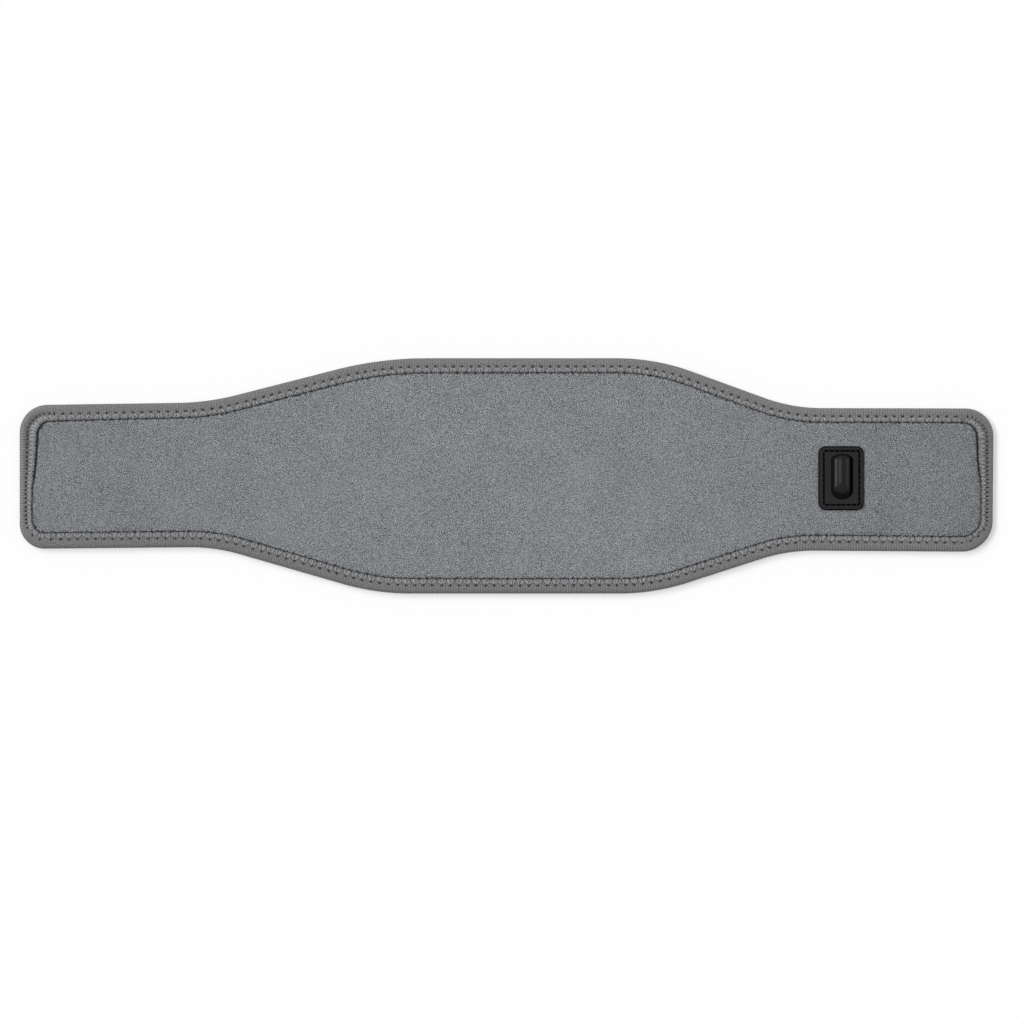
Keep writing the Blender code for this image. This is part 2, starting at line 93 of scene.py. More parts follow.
bl_info = {
    "name": "Heated back brace",
    "version": (1, 0, 0),
    "blender": (4, 5, 0),
    "location": "3D View > Sidebar > Back brace",
    "description": "Dresses the CAD frame of a heated back brace in its cloth, seams, rubber and light",
    "category": "Object",
}

MM = 0.001
SEED = 11

# Outline of the belt, counter-clockwise from the lower left tip: x, y and corner radius. It is the CAD's, but
# the tips are as in the photo: 1 to 4 mm rounder, the upper two lower and the lower right one drawn in
BELT_END = CAD_BOX[1].x
CROWN = CAD_BOX[1].y
OUTLINE = (
    (-BELT_END, -73.0 * MM, 25 * MM),
    (-291.7 * MM, -71.2 * MM, 176 * MM),
    (-130.7 * MM, -CROWN, 246 * MM),
    (147.2 * MM, -CROWN, 220 * MM),
    (280.9 * MM, -74.6 * MM, 172 * MM),
    (BELT_END - 1.2 * MM, -76.0 * MM, 31 * MM),
    (BELT_END, 67.4 * MM, 28 * MM),
    (285.3 * MM, 67.9 * MM, 172 * MM),
    (148.5 * MM, CROWN, 220 * MM),
    (-126.0 * MM, CROWN, 360 * MM),
    (-299.0 * MM, 73.5 * MM, 250 * MM),
    (-BELT_END, 70.7 * MM, 28 * MM),
)
EDGE_STEP = 0.5 * MM

# Heights of the layers, and how far the cloth is drawn in and held down by the binding
BELT_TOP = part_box("binding_top_centre")[1].z
MIDDLE = BELT_TOP / 2
FACE_BOTTOM, FACE_TOP = (corner.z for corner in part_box("face_centre"))
CORE_BOTTOM, CORE_TOP = (corner.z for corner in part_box("core_centre"))
LINING_BOTTOM, LINING_TOP = (corner.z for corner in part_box("lining_centre"))
LAYER_INSET = 4.5 * MM
LIP_ZONE = 17 * MM
LIP_FINENESS = 3
FACE_UNDER_TAPE = 6.65 * MM
LINING_OVER_TAPE = 1.5 * MM
CREVICE_WIDTH = 1.6 * MM
CREVICE_BREAK = 2.7 * MM

# Section of the binding from its inner lip to the middle of the fold, in millimetres: depth from the edge,
# height over the belt's middle and share of the rib's height; the underside mirrors it
TAPE_SECTION = (
    (14.6, 2.95, 0.0), (14.8, 3.40, 0.1), (14.5, 3.80, 0.3), (13.6, 3.95, 0.4), (12.3, 4.05, 0.45),
    (10.9, 4.08, 0.45), (9.6, 3.95, 0.5), (8.7, 3.74, 0.5), (8.0, 3.58, 0.5), (7.3, 3.75, 0.6),
    (6.3, 3.98, 0.9), (5.1, 4.08, 1.0), (3.8, 4.02, 1.0), (2.6, 3.75, 1.0), (1.6, 3.25, 1.0),
    (0.75, 2.4, 0.9), (0.2, 1.3, 0.8), (0.0, 0.0, 0.7),
)
TAPE_LIP_POINTS = 2
TAPE_BACK = ((4.2, 2.85), (3.4, 1.9))
TAPE_WIDTH = 14.6 * MM
FOLD_DEPTH = 3.8 * MM
NEEDLE_DEPTH = 8.0 * MM
TAPE_STEP = 0.65 * MM

# The binding is sewn on unevenly. At places round the edge: x, y, depth of the needle holes, depth of the
# inner lip (mm), and how hard the seam draws the binding in, from 0 to 1
TAPE_PLACES = (
    (-455, 71, 9.8, 16.0, 0.4), (-435, 72, 9.5, 15.7, 0.0), (-330, 74, 8.9, 14.8, 0.0),
    (330, 67, 8.4, 13.9, 0.0), (455, 67, 8.6, 13.8, 0.1), (478, 61, 9.3, 16.0, 0.7),
    (488, 41, 7.2, 16.0, 1.0), (488, 11, 6.8, 14.5, 1.0), (488, -9, 6.4, 11.8, 0.5),
    (486, -49, 6.6, 11.8, 0.4), (477, -69, 9.0, 14.6, 0.0), (330, -75, 9.0, 15.0, 0.0),
    (0, -118, 8.2, 14.4, 0.0), (-330, -71, 9.2, 15.6, 0.0), (-455, -73, 9.3, 15.5, 0.0),
    (-484, -59, 8.7, 14.5, 0.1), (-487, -39, 7.0, 12.1, 0.4), (-487, -9, 7.2, 12.7, 0.5),
    (-487, 11, 8.0, 15.6, 0.9), (-487, 41, 8.7, 17.4, 1.0), (-480, 61, 9.8, 18.0, 1.0),
)
TAPE_EASE = 6 * MM

# Pull from which the zigzag is sewn closer, as across the ends, and how far its holes stray along the edge
END_PULL = 0.25
STITCH_STRAY = 0.5 * MM

# Where the painted shade of the ends and the darker tips begin, and over what length
END_START, END_RUN = 120 * MM, 340 * MM
TIP_START, TIP_RUN = 420 * MM, 50 * MM

# Half the length of a turn at a bend line, which each strip keeps and nothing here uses; short beside the
# control patch, which stays flat
TURN = 31 * MM
PATCH_TURN = 27 * MM
PATCH_TURNS = ("right_bend_3", "right_bend_4")

# The control's rubber patch, rounder than the CAD's and further left, and the sunk seam round it
PATCH_CORNER = 7.5 * MM
PATCH_SHIFT = Vector((-0.5 * MM, 0, 0))
PATCH_SKIRT = 0.6 * MM
SEAM_INSET = 5.0 * MM
SEAM_HALF = 0.95 * MM
SEAM_CORNER = SEAM_INSET + 1.4 * MM
SEAM_SHIFT = Vector((0.4 * MM, 0.3 * MM, 0))
STITCH_SHARE = 0.62

# The dome: its tilts say how steep its back is by the distance from its middle line, in millimetres and
# degrees, and its bulges how far its lower and upper end stand out, as shares of its half width
DOME_TILTS = ((0, 0), (6.5, 22), (8.0, 52), (10.9, 62))
DOME_BULGES = (0.85, 0.5)
DOME_FOOT = 1.5 * MM
DOME_HALF_WIDTH = 10.9 * MM
DOME_X = 335.3 * MM
DOME_ENDS = (-23.4 * MM, 22.0 * MM)
DOME_GAP = 0.06 * MM
# How far its crown leans up the belt at the lower end, and to the left
DOME_LEAN = 9 * MM
DOME_SLANT = 0.8 * MM
# What of it takes the dark matt rubber, as painted shade: the lowest rings, and all that lies further to the
# right than this
DOME_SHADE_RINGS = 4
DOME_SHADE_SIDE = 7.2 * MM

# Sizes of the finishes' patterns. Real loops are about 0.8 mm wide and the grain of the rubber's mould is
# about 0.1 mm; both are drawn coarser, so that they show
YARN_PITCH = 0.9 * MM
WEAR_SIZE = 1.4 * MM
TWIST_PITCH = 0.4 * MM
LOOP_WIDTH = 1.9 * MM
LOOP_HEIGHT = 1.5 * MM
FUZZ_SIZE = 6 * MM
CELL_SIZE = 1.2 * MM
GRAIN_SIZE = 0.5 * MM
DUST_SIZE = 9 * MM
HOOK_WEAVE = 1.1 * MM

# Sockets and settings of the node that mixes colours; the names of its sockets repeat
MIX_A, MIX_B = 6, 7
MIX = {"output": 2, "data_type": "RGBA"}


def linear(code):
    """A colour for the shader from an sRGB hex code."""
    levels = (int(code[k:k + 2], 16) / 255 for k in (1, 3, 5))
    return tuple(v / 12.92 if v <= 0.04045 else ((v + 0.055) / 1.055) ** 2.4 for v in levels) + (1.0,)


def scaled(colour, factor):
    """A colour made darker or paler by a factor."""
    return tuple(factor * value for value in colour[:3]) + (1.0,)


def smooth(share):
    """An even rise from 0 to 1 that starts and stops gently."""
    share = np.clip(share, 0, 1)
    return share * share * (3 - 2 * share)


def fading(distance, length):
    """How much is left at a distance of what fades over a length; all of it where the distance is below 0."""
    return np.exp(-np.maximum(distance, 0) / length)


def unit(vectors):
    return vectors / np.linalg.norm(vectors, axis=-1, keepdims=True)


COLOUR = {"subtype": "COLOR", "size": 4}
LENGTH = {"unit": "LENGTH"}


class BraceCloth(bpy.types.PropertyGroup):
    """Sizes and colours of the cloth layers and the binding"""

    plush_pale: FloatVectorProperty(
        name="Plush, pale", description="Colour of the tips of the pile", default=linear("#aeb1b5"), **COLOUR)
    plush_dark: FloatVectorProperty(
        name="Plush, dark", description="Colour between the tufts of the pile", default=linear("#2d3034"),
        **COLOUR)
    tuft_size: FloatProperty(
        name="Tuft size", description="Size of the flecks in the brushed pile", default=0.78 * MM, **LENGTH)
    pile_depth: FloatProperty(
        name="Pile depth", description="How deep the tufts of the pile dip", default=0.22 * MM, **LENGTH)
    tape_pale: FloatVectorProperty(
        name="Binding, pale", description="Colour of the binding's ribs", default=linear("#9a9a9b"), **COLOUR)
    tape_dark: FloatVectorProperty(
        name="Binding, dark", description="Colour between the binding's ribs", default=linear("#545355"),
        **COLOUR)
    rib_pitch: FloatProperty(
        name="Rib pitch", description="Distance between the binding's ribs", default=2.67 * MM, **LENGTH)
    rib_height: FloatProperty(
        name="Rib height", description="How far the binding's ribs stand up", default=0.15 * MM, **LENGTH)
    lining_colour: FloatVectorProperty(
        name="Lining", description="Colour of the knitted lining", default=linear("#5d5f63"), **COLOUR)
    foam_colour: FloatVectorProperty(
        name="Foam", description="Colour of the foam core", default=linear("#3b3b3d"), **COLOUR)


class BraceSeam(bpy.types.PropertyGroup):
    """Sizes and colours of the zigzag seam and the hook panel"""

    pitch: FloatProperty(
        name="Stitch pitch", description="Length of one zigzag along the belt", default=8.8 * MM, **LENGTH)
    end_pitch: FloatProperty(
        name="Stitch pitch at the ends", description="Length of one zigzag across the ends", default=4.2 * MM,
        **LENGTH)
    thread_radius: FloatProperty(
        name="Thread radius", description="Radius of one ply of the seam's thread", default=0.26 * MM,
        **LENGTH)
    thread_colour: FloatVectorProperty(
        name="Thread", description="Colour of the zigzag thread", default=linear("#b5b5b6"), **COLOUR)
    hole_radius: FloatProperty(
        name="Needle hole", description="Radius of the dimple at each needle hole", default=1.1 * MM,
        **LENGTH)
    # Real hooks stand closer together; they are drawn coarser, so that they show
    hook_pitch: FloatProperty(
        name="Hook pitch", description="Distance between the hooks of the hook panel", default=2.4 * MM,
        **LENGTH)
    hook_colour: FloatVectorProperty(
        name="Hook panel", description="Colour of the hook panel", default=linear("#2a2a2c"), **COLOUR)


class BraceControl(bpy.types.PropertyGroup):
    """Sizes and colours of the control and the heater"""

    rubber_colour: FloatVectorProperty(
        name="Rubber", description="Colour of the control's rubber", default=linear("#0b0b0b"), **COLOUR)
    groove_depth: FloatProperty(
        name="Seam depth", description="Depth of the seam sunk into the patch", default=1.3 * MM, **LENGTH)
    stitch_pitch: FloatProperty(
        name="Patch stitch pitch", description="Length of one stitch of the patch's seam", default=5.4 * MM,
        **LENGTH)
    film_colour: FloatVectorProperty(
        name="Heating film", description="Colour of the heating film", default=linear("#6b431c"), **COLOUR)
    board_colour: FloatVectorProperty(
        name="Board", description="Colour of the control board", default=linear("#1c5a3a"), **COLOUR)


class BraceStage(bpy.types.PropertyGroup):
    """Light, floor and camera"""

    key: FloatProperty(
        name="Key light", description="Strength of the light from the upper left", default=1.4, min=0)
    fill: FloatProperty(
        name="Fill light", description="Strength of the low light from the right, which casts no shadow",
        default=0.5, min=0)
    strips: FloatProperty(
        name="Strip lights", description="Strength of the narrow lights that gleam on the rubber",
        default=0.6, min=0)
    below: FloatProperty(
        name="Light from below", description="Strength of the light on the body side", default=2.4, min=0)
    ambient: FloatProperty(
        name="Ambient", description="Strength of the light from all round", default=0.25, min=0, max=1)
    floor_cover: FloatProperty(
        name="Floor cover", description="How far the floor hides what is under it", default=0.68,
        subtype="FACTOR", min=0, max=1)
    lens: FloatProperty(
        name="Lens", description="Focal length of the camera in millimetres", default=300, min=20)


class Strip(NamedTuple):
    """A length of the belt that crosses one bend line, with half the length of the turn."""

    name: str
    start: float
    stop: float
    joint: dict
    turn: float

    def nodes(self, *layers):
        """CAD nodes of those layers that the strip stands for; the first right one has the centre's too."""
        bodies = [self.joint["child"]]
        if self.joint["name"] == "right_bend_1":
            bodies.append(self.joint["parent"])
        return [f"{layer}_{body}" for layer in layers for body in bodies]

    def holds(self, x):
        return self.start <= x < self.stop


def belt_strips():
    """The eight strips, each from halfway to the bend line before it to halfway to the one after."""
    strips = []
    for side, way in (("left", -1), ("right", 1)):
        joints = [joint for joint in frame["joints"] if joint["name"].startswith(f"{side}_bend")]
        lines = [abs(joint["pos_m"][0]) for joint in joints]
        ends = [0.0] + [(a + b) / 2 for a, b in zip(lines, lines[1:])] + [BELT_END + MM]
        for joint, inner, outer in zip(joints, ends, ends[1:]):
            turn = PATCH_TURN if joint["name"] in PATCH_TURNS else TURN
            start, stop = sorted((way * inner, way * outer))
            strips.append(Strip(joint["child"], start, stop, joint, turn))
    return strips


class Edge:
    """The belt's outer edge as a closed line: places and inward normals by the length along it."""

    def __init__(self):
        points, normals = [], []
        count = len(OUTLINE)
        for index, (x, y, radius) in enumerate(OUTLINE):
            corner = Vector((x, y))
            before = (Vector(OUTLINE[index - 1][:2]) - corner).normalized()
            after = (Vector(OUTLINE[(index + 1) % count][:2]) - corner).normalized()
            half = before.angle(after) / 2
            centre = corner + (before + after).normalized() * (radius / math.sin(half))
            turn = 1 if before.cross(after) < 0 else -1
            first = corner + before * (radius / math.tan(half)) - centre
            sweep = turn * (math.pi - 2 * half)
            steps = math.ceil(radius * abs(sweep) / EDGE_STEP)
            for step in range(steps + 1):
                spoke = Matrix.Rotation(sweep * step / steps, 2) @ first
                points.append(centre + spoke)
                normals.append(-turn * spoke.normalized())
        self.points = np.array(points + points[:1])
        self.normals = np.array(normals + normals[:1])
        gaps = np.linalg.norm(np.diff(self.points, axis=0), axis=1)
        self.along = np.concatenate([[0], np.cumsum(gaps)])
        self.length = self.along[-1]

    def at(self, along):
        """Places and inward normals at those lengths."""
        along = np.asarray(along) % self.length
        return [np.stack([np.interp(along, self.along, table[:, k]) for k in (0, 1)], axis=-1)
                for table in (self.points, self.normals)]

    def nearest(self, places):
        """Lengths along the edge that lie nearest to those places."""
        along = np.arange(0, self.length, EDGE_STEP)
        points = self.at(along)[0]
        return [along[np.argmin(np.linalg.norm(points - place, axis=1))] for place in places]

    def limits(self, x, inset):
        """The lowest and highest Y of the belt at those X, with its edge drawn in by inset."""
        line = self.points + self.normals * inset
        found = []
        for way in (1, -1):
            side = self.normals[:, 1] * way > 1e-3
            order = np.argsort(line[side, 0])
            found.append(np.interp(x, line[side, 0][order], line[side, 1][order]))
        return found


STRIPS = belt_strips()
EDGE = Edge()
TAPE_MARKS = EDGE.nearest(np.array(TAPE_PLACES)[:, :2] * MM)


def tape_at(along):
    """Depth of the needle holes, depth of the inner lip and pull of the seam, at lengths along the edge."""
    near = np.asarray(along)[..., None] + np.linspace(-TAPE_EASE, TAPE_EASE, 7)
    needle, lip, pull = (np.interp(near, TAPE_MARKS, column, period=EDGE.length).mean(axis=-1)
                         for column in np.array(TAPE_PLACES)[:, 2:].T)
    return needle * MM, lip * MM, pull


def spread_depth(depth, needle, lip):
    """A depth of the section where holes and lip lie that deep: the fold stays and the rest stretches."""
    to_needle = (needle - FOLD_DEPTH) / (NEEDLE_DEPTH - FOLD_DEPTH)
    to_lip = (lip - needle) / (TAPE_WIDTH - NEEDLE_DEPTH)
    outer = FOLD_DEPTH + (depth - FOLD_DEPTH) * to_needle
    inner = needle + (depth - NEEDLE_DEPTH) * to_lip
    return np.where(depth < FOLD_DEPTH, depth, np.where(depth < NEEDLE_DEPTH, outer, inner))


def tape_height(depth):
    """Height of the binding's upper skin at a depth of its section."""
    section = np.array(TAPE_SECTION[TAPE_LIP_POINTS:])[::-1] * MM
    return MIDDLE + np.interp(depth, section[:, 0], section[:, 1])


def stitch_places(seam):
    """Lengths along the edge of the zigzag's outer needle holes, closer together across the ends."""
    places, along = [], 0.0
    while along < EDGE.length:
        places.append(along)
        step = along + np.array((0, EDGE_STEP))
        needle, _, pull = tape_at(step)
        place, normal = EDGE.at(step)
        run = np.linalg.norm(np.diff(place + normal * needle[:, None], axis=0)) / EDGE_STEP
        along += (seam.end_pitch if pull[0] > END_PULL else seam.pitch) / run
    stray = np.random.default_rng(SEED).uniform(-STITCH_STRAY, STITCH_STRAY, len(places))
    return np.array(places) * EDGE.length / along + stray


def halfway(places):
    """Lengths halfway between the stitches, where the zigzag turns at the binding's inner lip."""
    return (places + np.append(places[1:], places[0] + EDGE.length)) / 2


def nearest_gap(along, places):
    """How far each length is from the nearest of the places, round the closed edge."""
    places = np.sort(places % EDGE.length)
    looped = np.concatenate([[places[-1] - EDGE.length], places, [places[0] + EDGE.length]])
    after = np.clip(np.searchsorted(looped, along), 1, len(looped) - 1)
    return np.minimum(np.abs(along - looped[after - 1]), np.abs(looped[after] - along))


def lip_distance():
    """A function that gives how far inside the inner lip each point lies (below 0 under it), and the pull."""
    along = np.arange(0, EDGE.length, EDGE_STEP)
    points, normals = EDGE.at(along)
    _, depth, pull = tape_at(along)
    lip = points + normals * depth[:, None]
    tree = KDTree(len(lip))
    for index, point in enumerate(lip):
        tree.insert((*point, 0), index)
    tree.balance()

    def distance(x, y):
        found = []
        for place in zip(x.ravel(), y.ravel()):
            _, index, gap = tree.find((*place, 0))
            inside = np.dot(np.array(place) - lip[index], normals[index]) > 0
            found.append((gap if inside else -gap, pull[index]))
        return np.array(found).T.reshape(2, *x.shape)

    return distance


def strip_net(strip, gap, rows):
    """X and Y of a net of points over a strip, about gap apart and closer beside the binding."""
    fine = gap / LIP_FINENESS
    start = max(strip.start, -BELT_END + LAYER_INSET)
    stop = min(strip.stop, BELT_END - LAYER_INSET)
    x = np.linspace(start, stop, round((stop - start) / gap) + 1)
    side = np.arange(0, LIP_ZONE, fine)
    if strip.name.endswith("tip"):
        outer = max(start, stop, key=abs) - math.copysign(1, start) * side
        x = np.sort(np.concatenate([x[np.abs(x) < abs(outer[-1]) - fine], outer]))
    low, top = (limit[:, None] for limit in EDGE.limits(x, LAYER_INSET))
    middle = np.linspace(low + LIP_ZONE, top - LIP_ZONE, rows, axis=1)[..., 0]
    y = np.concatenate([low + side, middle, top - side[::-1]], axis=1)
    return np.repeat(x[:, None], y.shape[1], axis=1), y


def net_faces(numbers):
    """Four-sided faces over a net of point numbers."""
    corners = (numbers[:-1, :-1], numbers[1:, :-1], numbers[1:, 1:], numbers[:-1, 1:])
    return np.stack(corners, axis=-1).reshape(-1, 4).tolist()


def slab(x, y, skin, back):
    """Points and faces of a closed layer: a fine skin on the side that shows and a plain back."""
    columns, rows = x.shape
    sides = [0, rows - 1]
    plain = np.stack([x[:, sides], y[:, sides], np.full((columns, 2), back)], axis=-1)
    points = np.concatenate([np.stack([x, y, skin], axis=-1).reshape(-1, 3), plain.reshape(-1, 3)])
    upper = np.arange(columns * rows).reshape(columns, rows)
    lower = columns * rows + np.arange(columns * 2).reshape(columns, 2)
    faces = net_faces(upper) + net_faces(lower[:, ::-1])
    faces += net_faces(np.stack([lower[:, 0], upper[:, 0]], axis=1))
    faces += net_faces(np.stack([upper[:, -1], lower[:, 1]], axis=1))
    for end in (0, columns - 1):
        faces.append([*upper[end], lower[end, 1], lower[end, 0]])
    return points, faces


def loft(rings, looped=False):
    """Points and faces through rings of points, capped at both ends or joined from the last to the first."""
    rings = np.asarray(rings)
    numbers = np.arange(rings.shape[0] * rings.shape[1]).reshape(rings.shape[:2])
    around = np.concatenate([numbers, numbers[:, :1]], axis=1)
    if looped:
        return rings.reshape(-1, 3), net_faces(np.concatenate([around, around[:1]]))
    caps = [numbers[0].tolist(), numbers[-1].tolist()]
    return rings.reshape(-1, 3), net_faces(around) + caps


def tube(path, radius, sides):
    """Points and faces of a round thread along a path."""
    run = unit(np.gradient(path, axis=0))
    # The tiny length keeps an upright run from having no way across
    across = unit(np.cross(run, (0, 0, 1.0)) + np.array((1e-9, 0, 0)))
    over = np.cross(across, run)
    angle = np.linspace(0, 2 * math.pi, sides, endpoint=False)[None, :, None]
    rings = path[:, None] + radius * (np.cos(angle) * across[:, None] + np.sin(angle) * over[:, None])
    return loft(rings)


def joined(parts):
    """Several meshes' points and faces as one."""
    points, faces, count = [], [], 0
    for some_points, some_faces in parts:
        points.append(some_points)
        faces += [[count + corner for corner in face] for face in some_faces]
        count += len(some_points)
    return np.concatenate(points), faces


def add_piece(name, shape, material, **attributes):
    """A smooth object from points and faces; each attribute has a value or a vector for each point."""
    points, faces = shape
    mesh = bpy.data.meshes.new(name)
    mesh.from_pydata(points.tolist(), [], faces)
    bm = bmesh.new()
    bm.from_mesh(mesh)
    bmesh.ops.recalc_face_normals(bm, faces=bm.faces)
    bm.to_mesh(mesh)
    bm.free()
    mesh.shade_smooth()
    mesh.set_sharp_from_angle(angle=math.radians(55))
    for key, values in attributes.items():
        values = np.asarray(values, np.float32)
        kind, field = ("FLOAT", "value") if values.ndim == 1 else ("FLOAT_VECTOR", "vector")
        mesh.attributes.new(key, kind, "POINT").data.foreach_set(field, values.ravel())
    mesh.materials.append(material)
    obj = bpy.data.objects.new(name, mesh)
    bpy.context.scene.collection.objects.link(obj)
    return obj


def paint(obj, material, chosen):
    """Give the chosen faces of a piece a second material."""
    obj.data.materials.append(material)
    obj.data.polygons.foreach_set("material_index", np.asarray(chosen, np.int32))


def lay(obj, strip, nodes=()):
    """Bake a piece's place into its mesh and hide the CAD nodes that it stands for."""
    middle = Vector(strip.joint["pos_m"])
    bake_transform(obj)
    if nodes:
        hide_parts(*nodes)


def fix(obj, body, nodes=()):
    """Let a piece ride on one body and hide the CAD nodes that it stands for."""
    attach(obj, body)
    if nodes:
        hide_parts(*nodes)


def feed(node, inputs):
    """Set a node's inputs, each to a value or to the output that feeds it."""
    for socket, value in inputs.items():
        if isinstance(value, bpy.types.NodeSocket):
            node.id_data.links.new(value, node.inputs[socket])
        else:
            node.inputs[socket].default_value = value


def add_node(tree, kind, inputs, output=0, **settings):
    """One node with its settings and inputs; gives the output that is used of it."""
    made = tree.nodes.new(kind)
    for name, value in settings.items():
        setattr(made, name, value)
    feed(made, inputs)
    return made.outputs[output]


def new_material(name, values):
    """A material with values set on its shader, its node tree and the shader."""
    made = bpy.data.materials.new(name)
    made.use_nodes = True
    shader = made.node_tree.nodes["Principled BSDF"]
    feed(shader, values)
    return made, made.node_tree, shader


def shaded(tree, colour, dark):
    """A colour that turns dark where the piece's shade attribute says so; that attribute carries mostly painted
    shade.
    """
    shade = add_node(tree, "ShaderNodeAttribute", {}, "Fac", attribute_name="shade")
    return add_node(tree, "ShaderNodeMix", {0: shade, MIX_A: colour, MIX_B: linear(dark)}, **MIX)


def wave_scale(pitch):
    """Scale of a wave texture whose lines lie that far apart."""
    return math.pi / 10 / pitch


def brushed_plush(cloth):
    """Brushed polyester loop plush. The combed tufts show as pale and dark flecks on a soft matt face."""
    made, tree, shader = new_material("brushed_polyester_plush", {
        "Roughness": 0.95, "Specular IOR Level": 0.15, "Sheen Weight": 0.12, "Sheen Roughness": 0.5})
    rest = add_node(tree, "ShaderNodeAttribute", {}, "Vector", attribute_name="rest")
    flecks = add_node(tree, "ShaderNodeTexNoise", {
        "Vector": rest, "Scale": 1 / cloth.tuft_size, "Detail": 0.5, "Roughness": 0.4, "Distortion": 0.6})
    clumps = add_node(tree, "ShaderNodeTexNoise", {
        "Vector": rest, "Scale": 0.25 / cloth.tuft_size, "Detail": 1.0, "Roughness": 0.5, "Distortion": 1.0})
    blotches = add_node(tree, "ShaderNodeTexNoise", {
        "Vector": rest, "Scale": 0.016 / cloth.tuft_size, "Detail": 1.0, "Roughness": 0.5})
    fine = add_node(tree, "ShaderNodeMath", {0: clumps, 1: 0.14, 2: flecks}, operation="MULTIPLY_ADD")
    pile = add_node(tree, "ShaderNodeMath", {0: blotches, 1: 0.05, 2: fine}, operation="MULTIPLY_ADD")
    level = add_node(tree, "ShaderNodeMapRange", {"Value": pile, "From Min": 0.425, "From Max": 0.785})
    colour = add_node(tree, "ShaderNodeMix", {
        0: level, MIX_A: cloth.plush_dark, MIX_B: cloth.plush_pale}, **MIX)
    bump = add_node(tree, "ShaderNodeBump", {"Height": fine, "Strength": 0.55, "Distance": 0.5 * MM})
    feed(shader, {"Base Color": shaded(tree, colour, "#1f2123"), "Normal": bump})
    return made


def ribbed_tape(cloth):
    """Woven polyester binding. Its crosswise ribs show as fine lines, darker where the weave dips."""
    made, tree, shader = new_material("ribbed_polyester_tape", {
        "Roughness": 0.82, "Specular IOR Level": 0.25, "Sheen Weight": 0.08})
    rest = add_node(tree, "ShaderNodeAttribute", {}, "Vector", attribute_name="rest")
    height = add_node(tree, "ShaderNodeAttribute", {}, "Fac", attribute_name="rib")
    ribs = add_node(tree, "ShaderNodeTexWave", {
        "Vector": rest, "Scale": wave_scale(cloth.rib_pitch), "Distortion": 1.8, "Detail": 1.0},
        "Fac", bands_direction="X")
    raised = add_node(tree, "ShaderNodeMapRange", {"Value": height, "To Min": 0.5, "To Max": ribs})
    yarns = add_node(tree, "ShaderNodeTexWave", {
        "Vector": rest, "Scale": wave_scale(YARN_PITCH), "Distortion": 1.0}, "Fac", bands_direction="Y")
    wear = add_node(tree, "ShaderNodeTexNoise", {"Vector": rest, "Scale": 1 / WEAR_SIZE, "Detail": 2.0})
    weave = add_node(tree, "ShaderNodeMath", {0: yarns, 1: 0.3, 2: raised}, operation="MULTIPLY_ADD")
    wear_and_end_shade = add_node(tree, "ShaderNodeMath", {0: wear, 1: 1.6, 2: weave}, operation="MULTIPLY_ADD")
    level = add_node(tree, "ShaderNodeMapRange", {"Value": wear_and_end_shade, "From Min": 1.0, "From Max": 1.9})
    colour = add_node(tree, "ShaderNodeMix", {
        0: level, MIX_A: cloth.tape_dark, MIX_B: cloth.tape_pale}, **MIX)
    bump = add_node(tree, "ShaderNodeBump", {
        "Height": weave, "Strength": 0.5, "Distance": cloth.rib_height})
    feed(shader, {"Base Color": shaded(tree, colour, "#19191a"), "Normal": bump})
    return made


def spun_thread(name, colour, gleam=0.35):
    """Spun polyester sewing thread. Its twist shows as slanting pale and dark turns with a slight gleam."""
    made, tree, shader = new_material(name, {"Roughness": 0.55, "Specular IOR Level": gleam})
    rest = add_node(tree, "ShaderNodeAttribute", {}, "Vector", attribute_name="rest")
    twist = add_node(tree, "ShaderNodeTexWave", {"Vector": rest, "Scale": wave_scale(TWIST_PITCH)}, "Fac",
                     bands_direction="DIAGONAL")
    turns = add_node(tree, "ShaderNodeMix", {0: twist, MIX_A: scaled(colour, 0.72), MIX_B: colour}, **MIX)
    feed(shader, {"Base Color": shaded(tree, turns, "#19191a")})
    return made


def knitted_lining(cloth):
    """Warp-knitted polyester. Its columns of loops show as fine ribs up and down the body side."""
    made, tree, shader = new_material("knitted_polyester_lining", {
        "Roughness": 0.88, "Specular IOR Level": 0.2, "Sheen Weight": 0.1})
    rest = add_node(tree, "ShaderNodeAttribute", {}, "Vector", attribute_name="rest")
    columns = add_node(tree, "ShaderNodeTexWave", {
        "Vector": rest, "Scale": wave_scale(LOOP_WIDTH), "Distortion": 0.5}, "Fac", bands_direction="X")
    loops = add_node(tree, "ShaderNodeTexWave", {
        "Vector": rest, "Scale": wave_scale(LOOP_HEIGHT), "Distortion": 0.8}, "Fac", bands_direction="Y")
    fuzz = add_node(tree, "ShaderNodeTexNoise", {"Vector": rest, "Scale": 1 / FUZZ_SIZE, "Detail": 3.0})
    knit = add_node(tree, "ShaderNodeMath", {0: columns, 1: loops}, operation="MULTIPLY")
    level = add_node(tree, "ShaderNodeMath", {0: fuzz, 1: 0.5, 2: knit}, operation="MULTIPLY_ADD")
    dark, pale = (scaled(cloth.lining_colour, factor) for factor in (0.6, 1.3))
    colour = add_node(tree, "ShaderNodeMix", {0: level, MIX_A: dark, MIX_B: pale}, **MIX)
    bump = add_node(tree, "ShaderNodeBump", {"Height": knit, "Strength": 0.6, "Distance": 0.3 * MM})
    feed(shader, {"Base Color": shaded(tree, colour, "#1c1d1e"), "Normal": bump})
    return made


def open_foam(cloth):
    """Open-celled polyurethane foam. Its cells show as dark pits all over a dull skin."""
    made, tree, shader = new_material("polyurethane_foam", {"Roughness": 0.95, "Specular IOR Level": 0.1})
    rest = add_node(tree, "ShaderNodeAttribute", {}, "Vector", attribute_name="rest")
    cells = add_node(tree, "ShaderNodeTexVoronoi", {"Vector": rest, "Scale": 1 / CELL_SIZE}, "Distance")
    dark = scaled(cloth.foam_colour, 0.4)
    colour = add_node(tree, "ShaderNodeMix", {0: cells, MIX_A: dark, MIX_B: cloth.foam_colour}, **MIX)
    feed(shader, {"Base Color": colour})
    return made


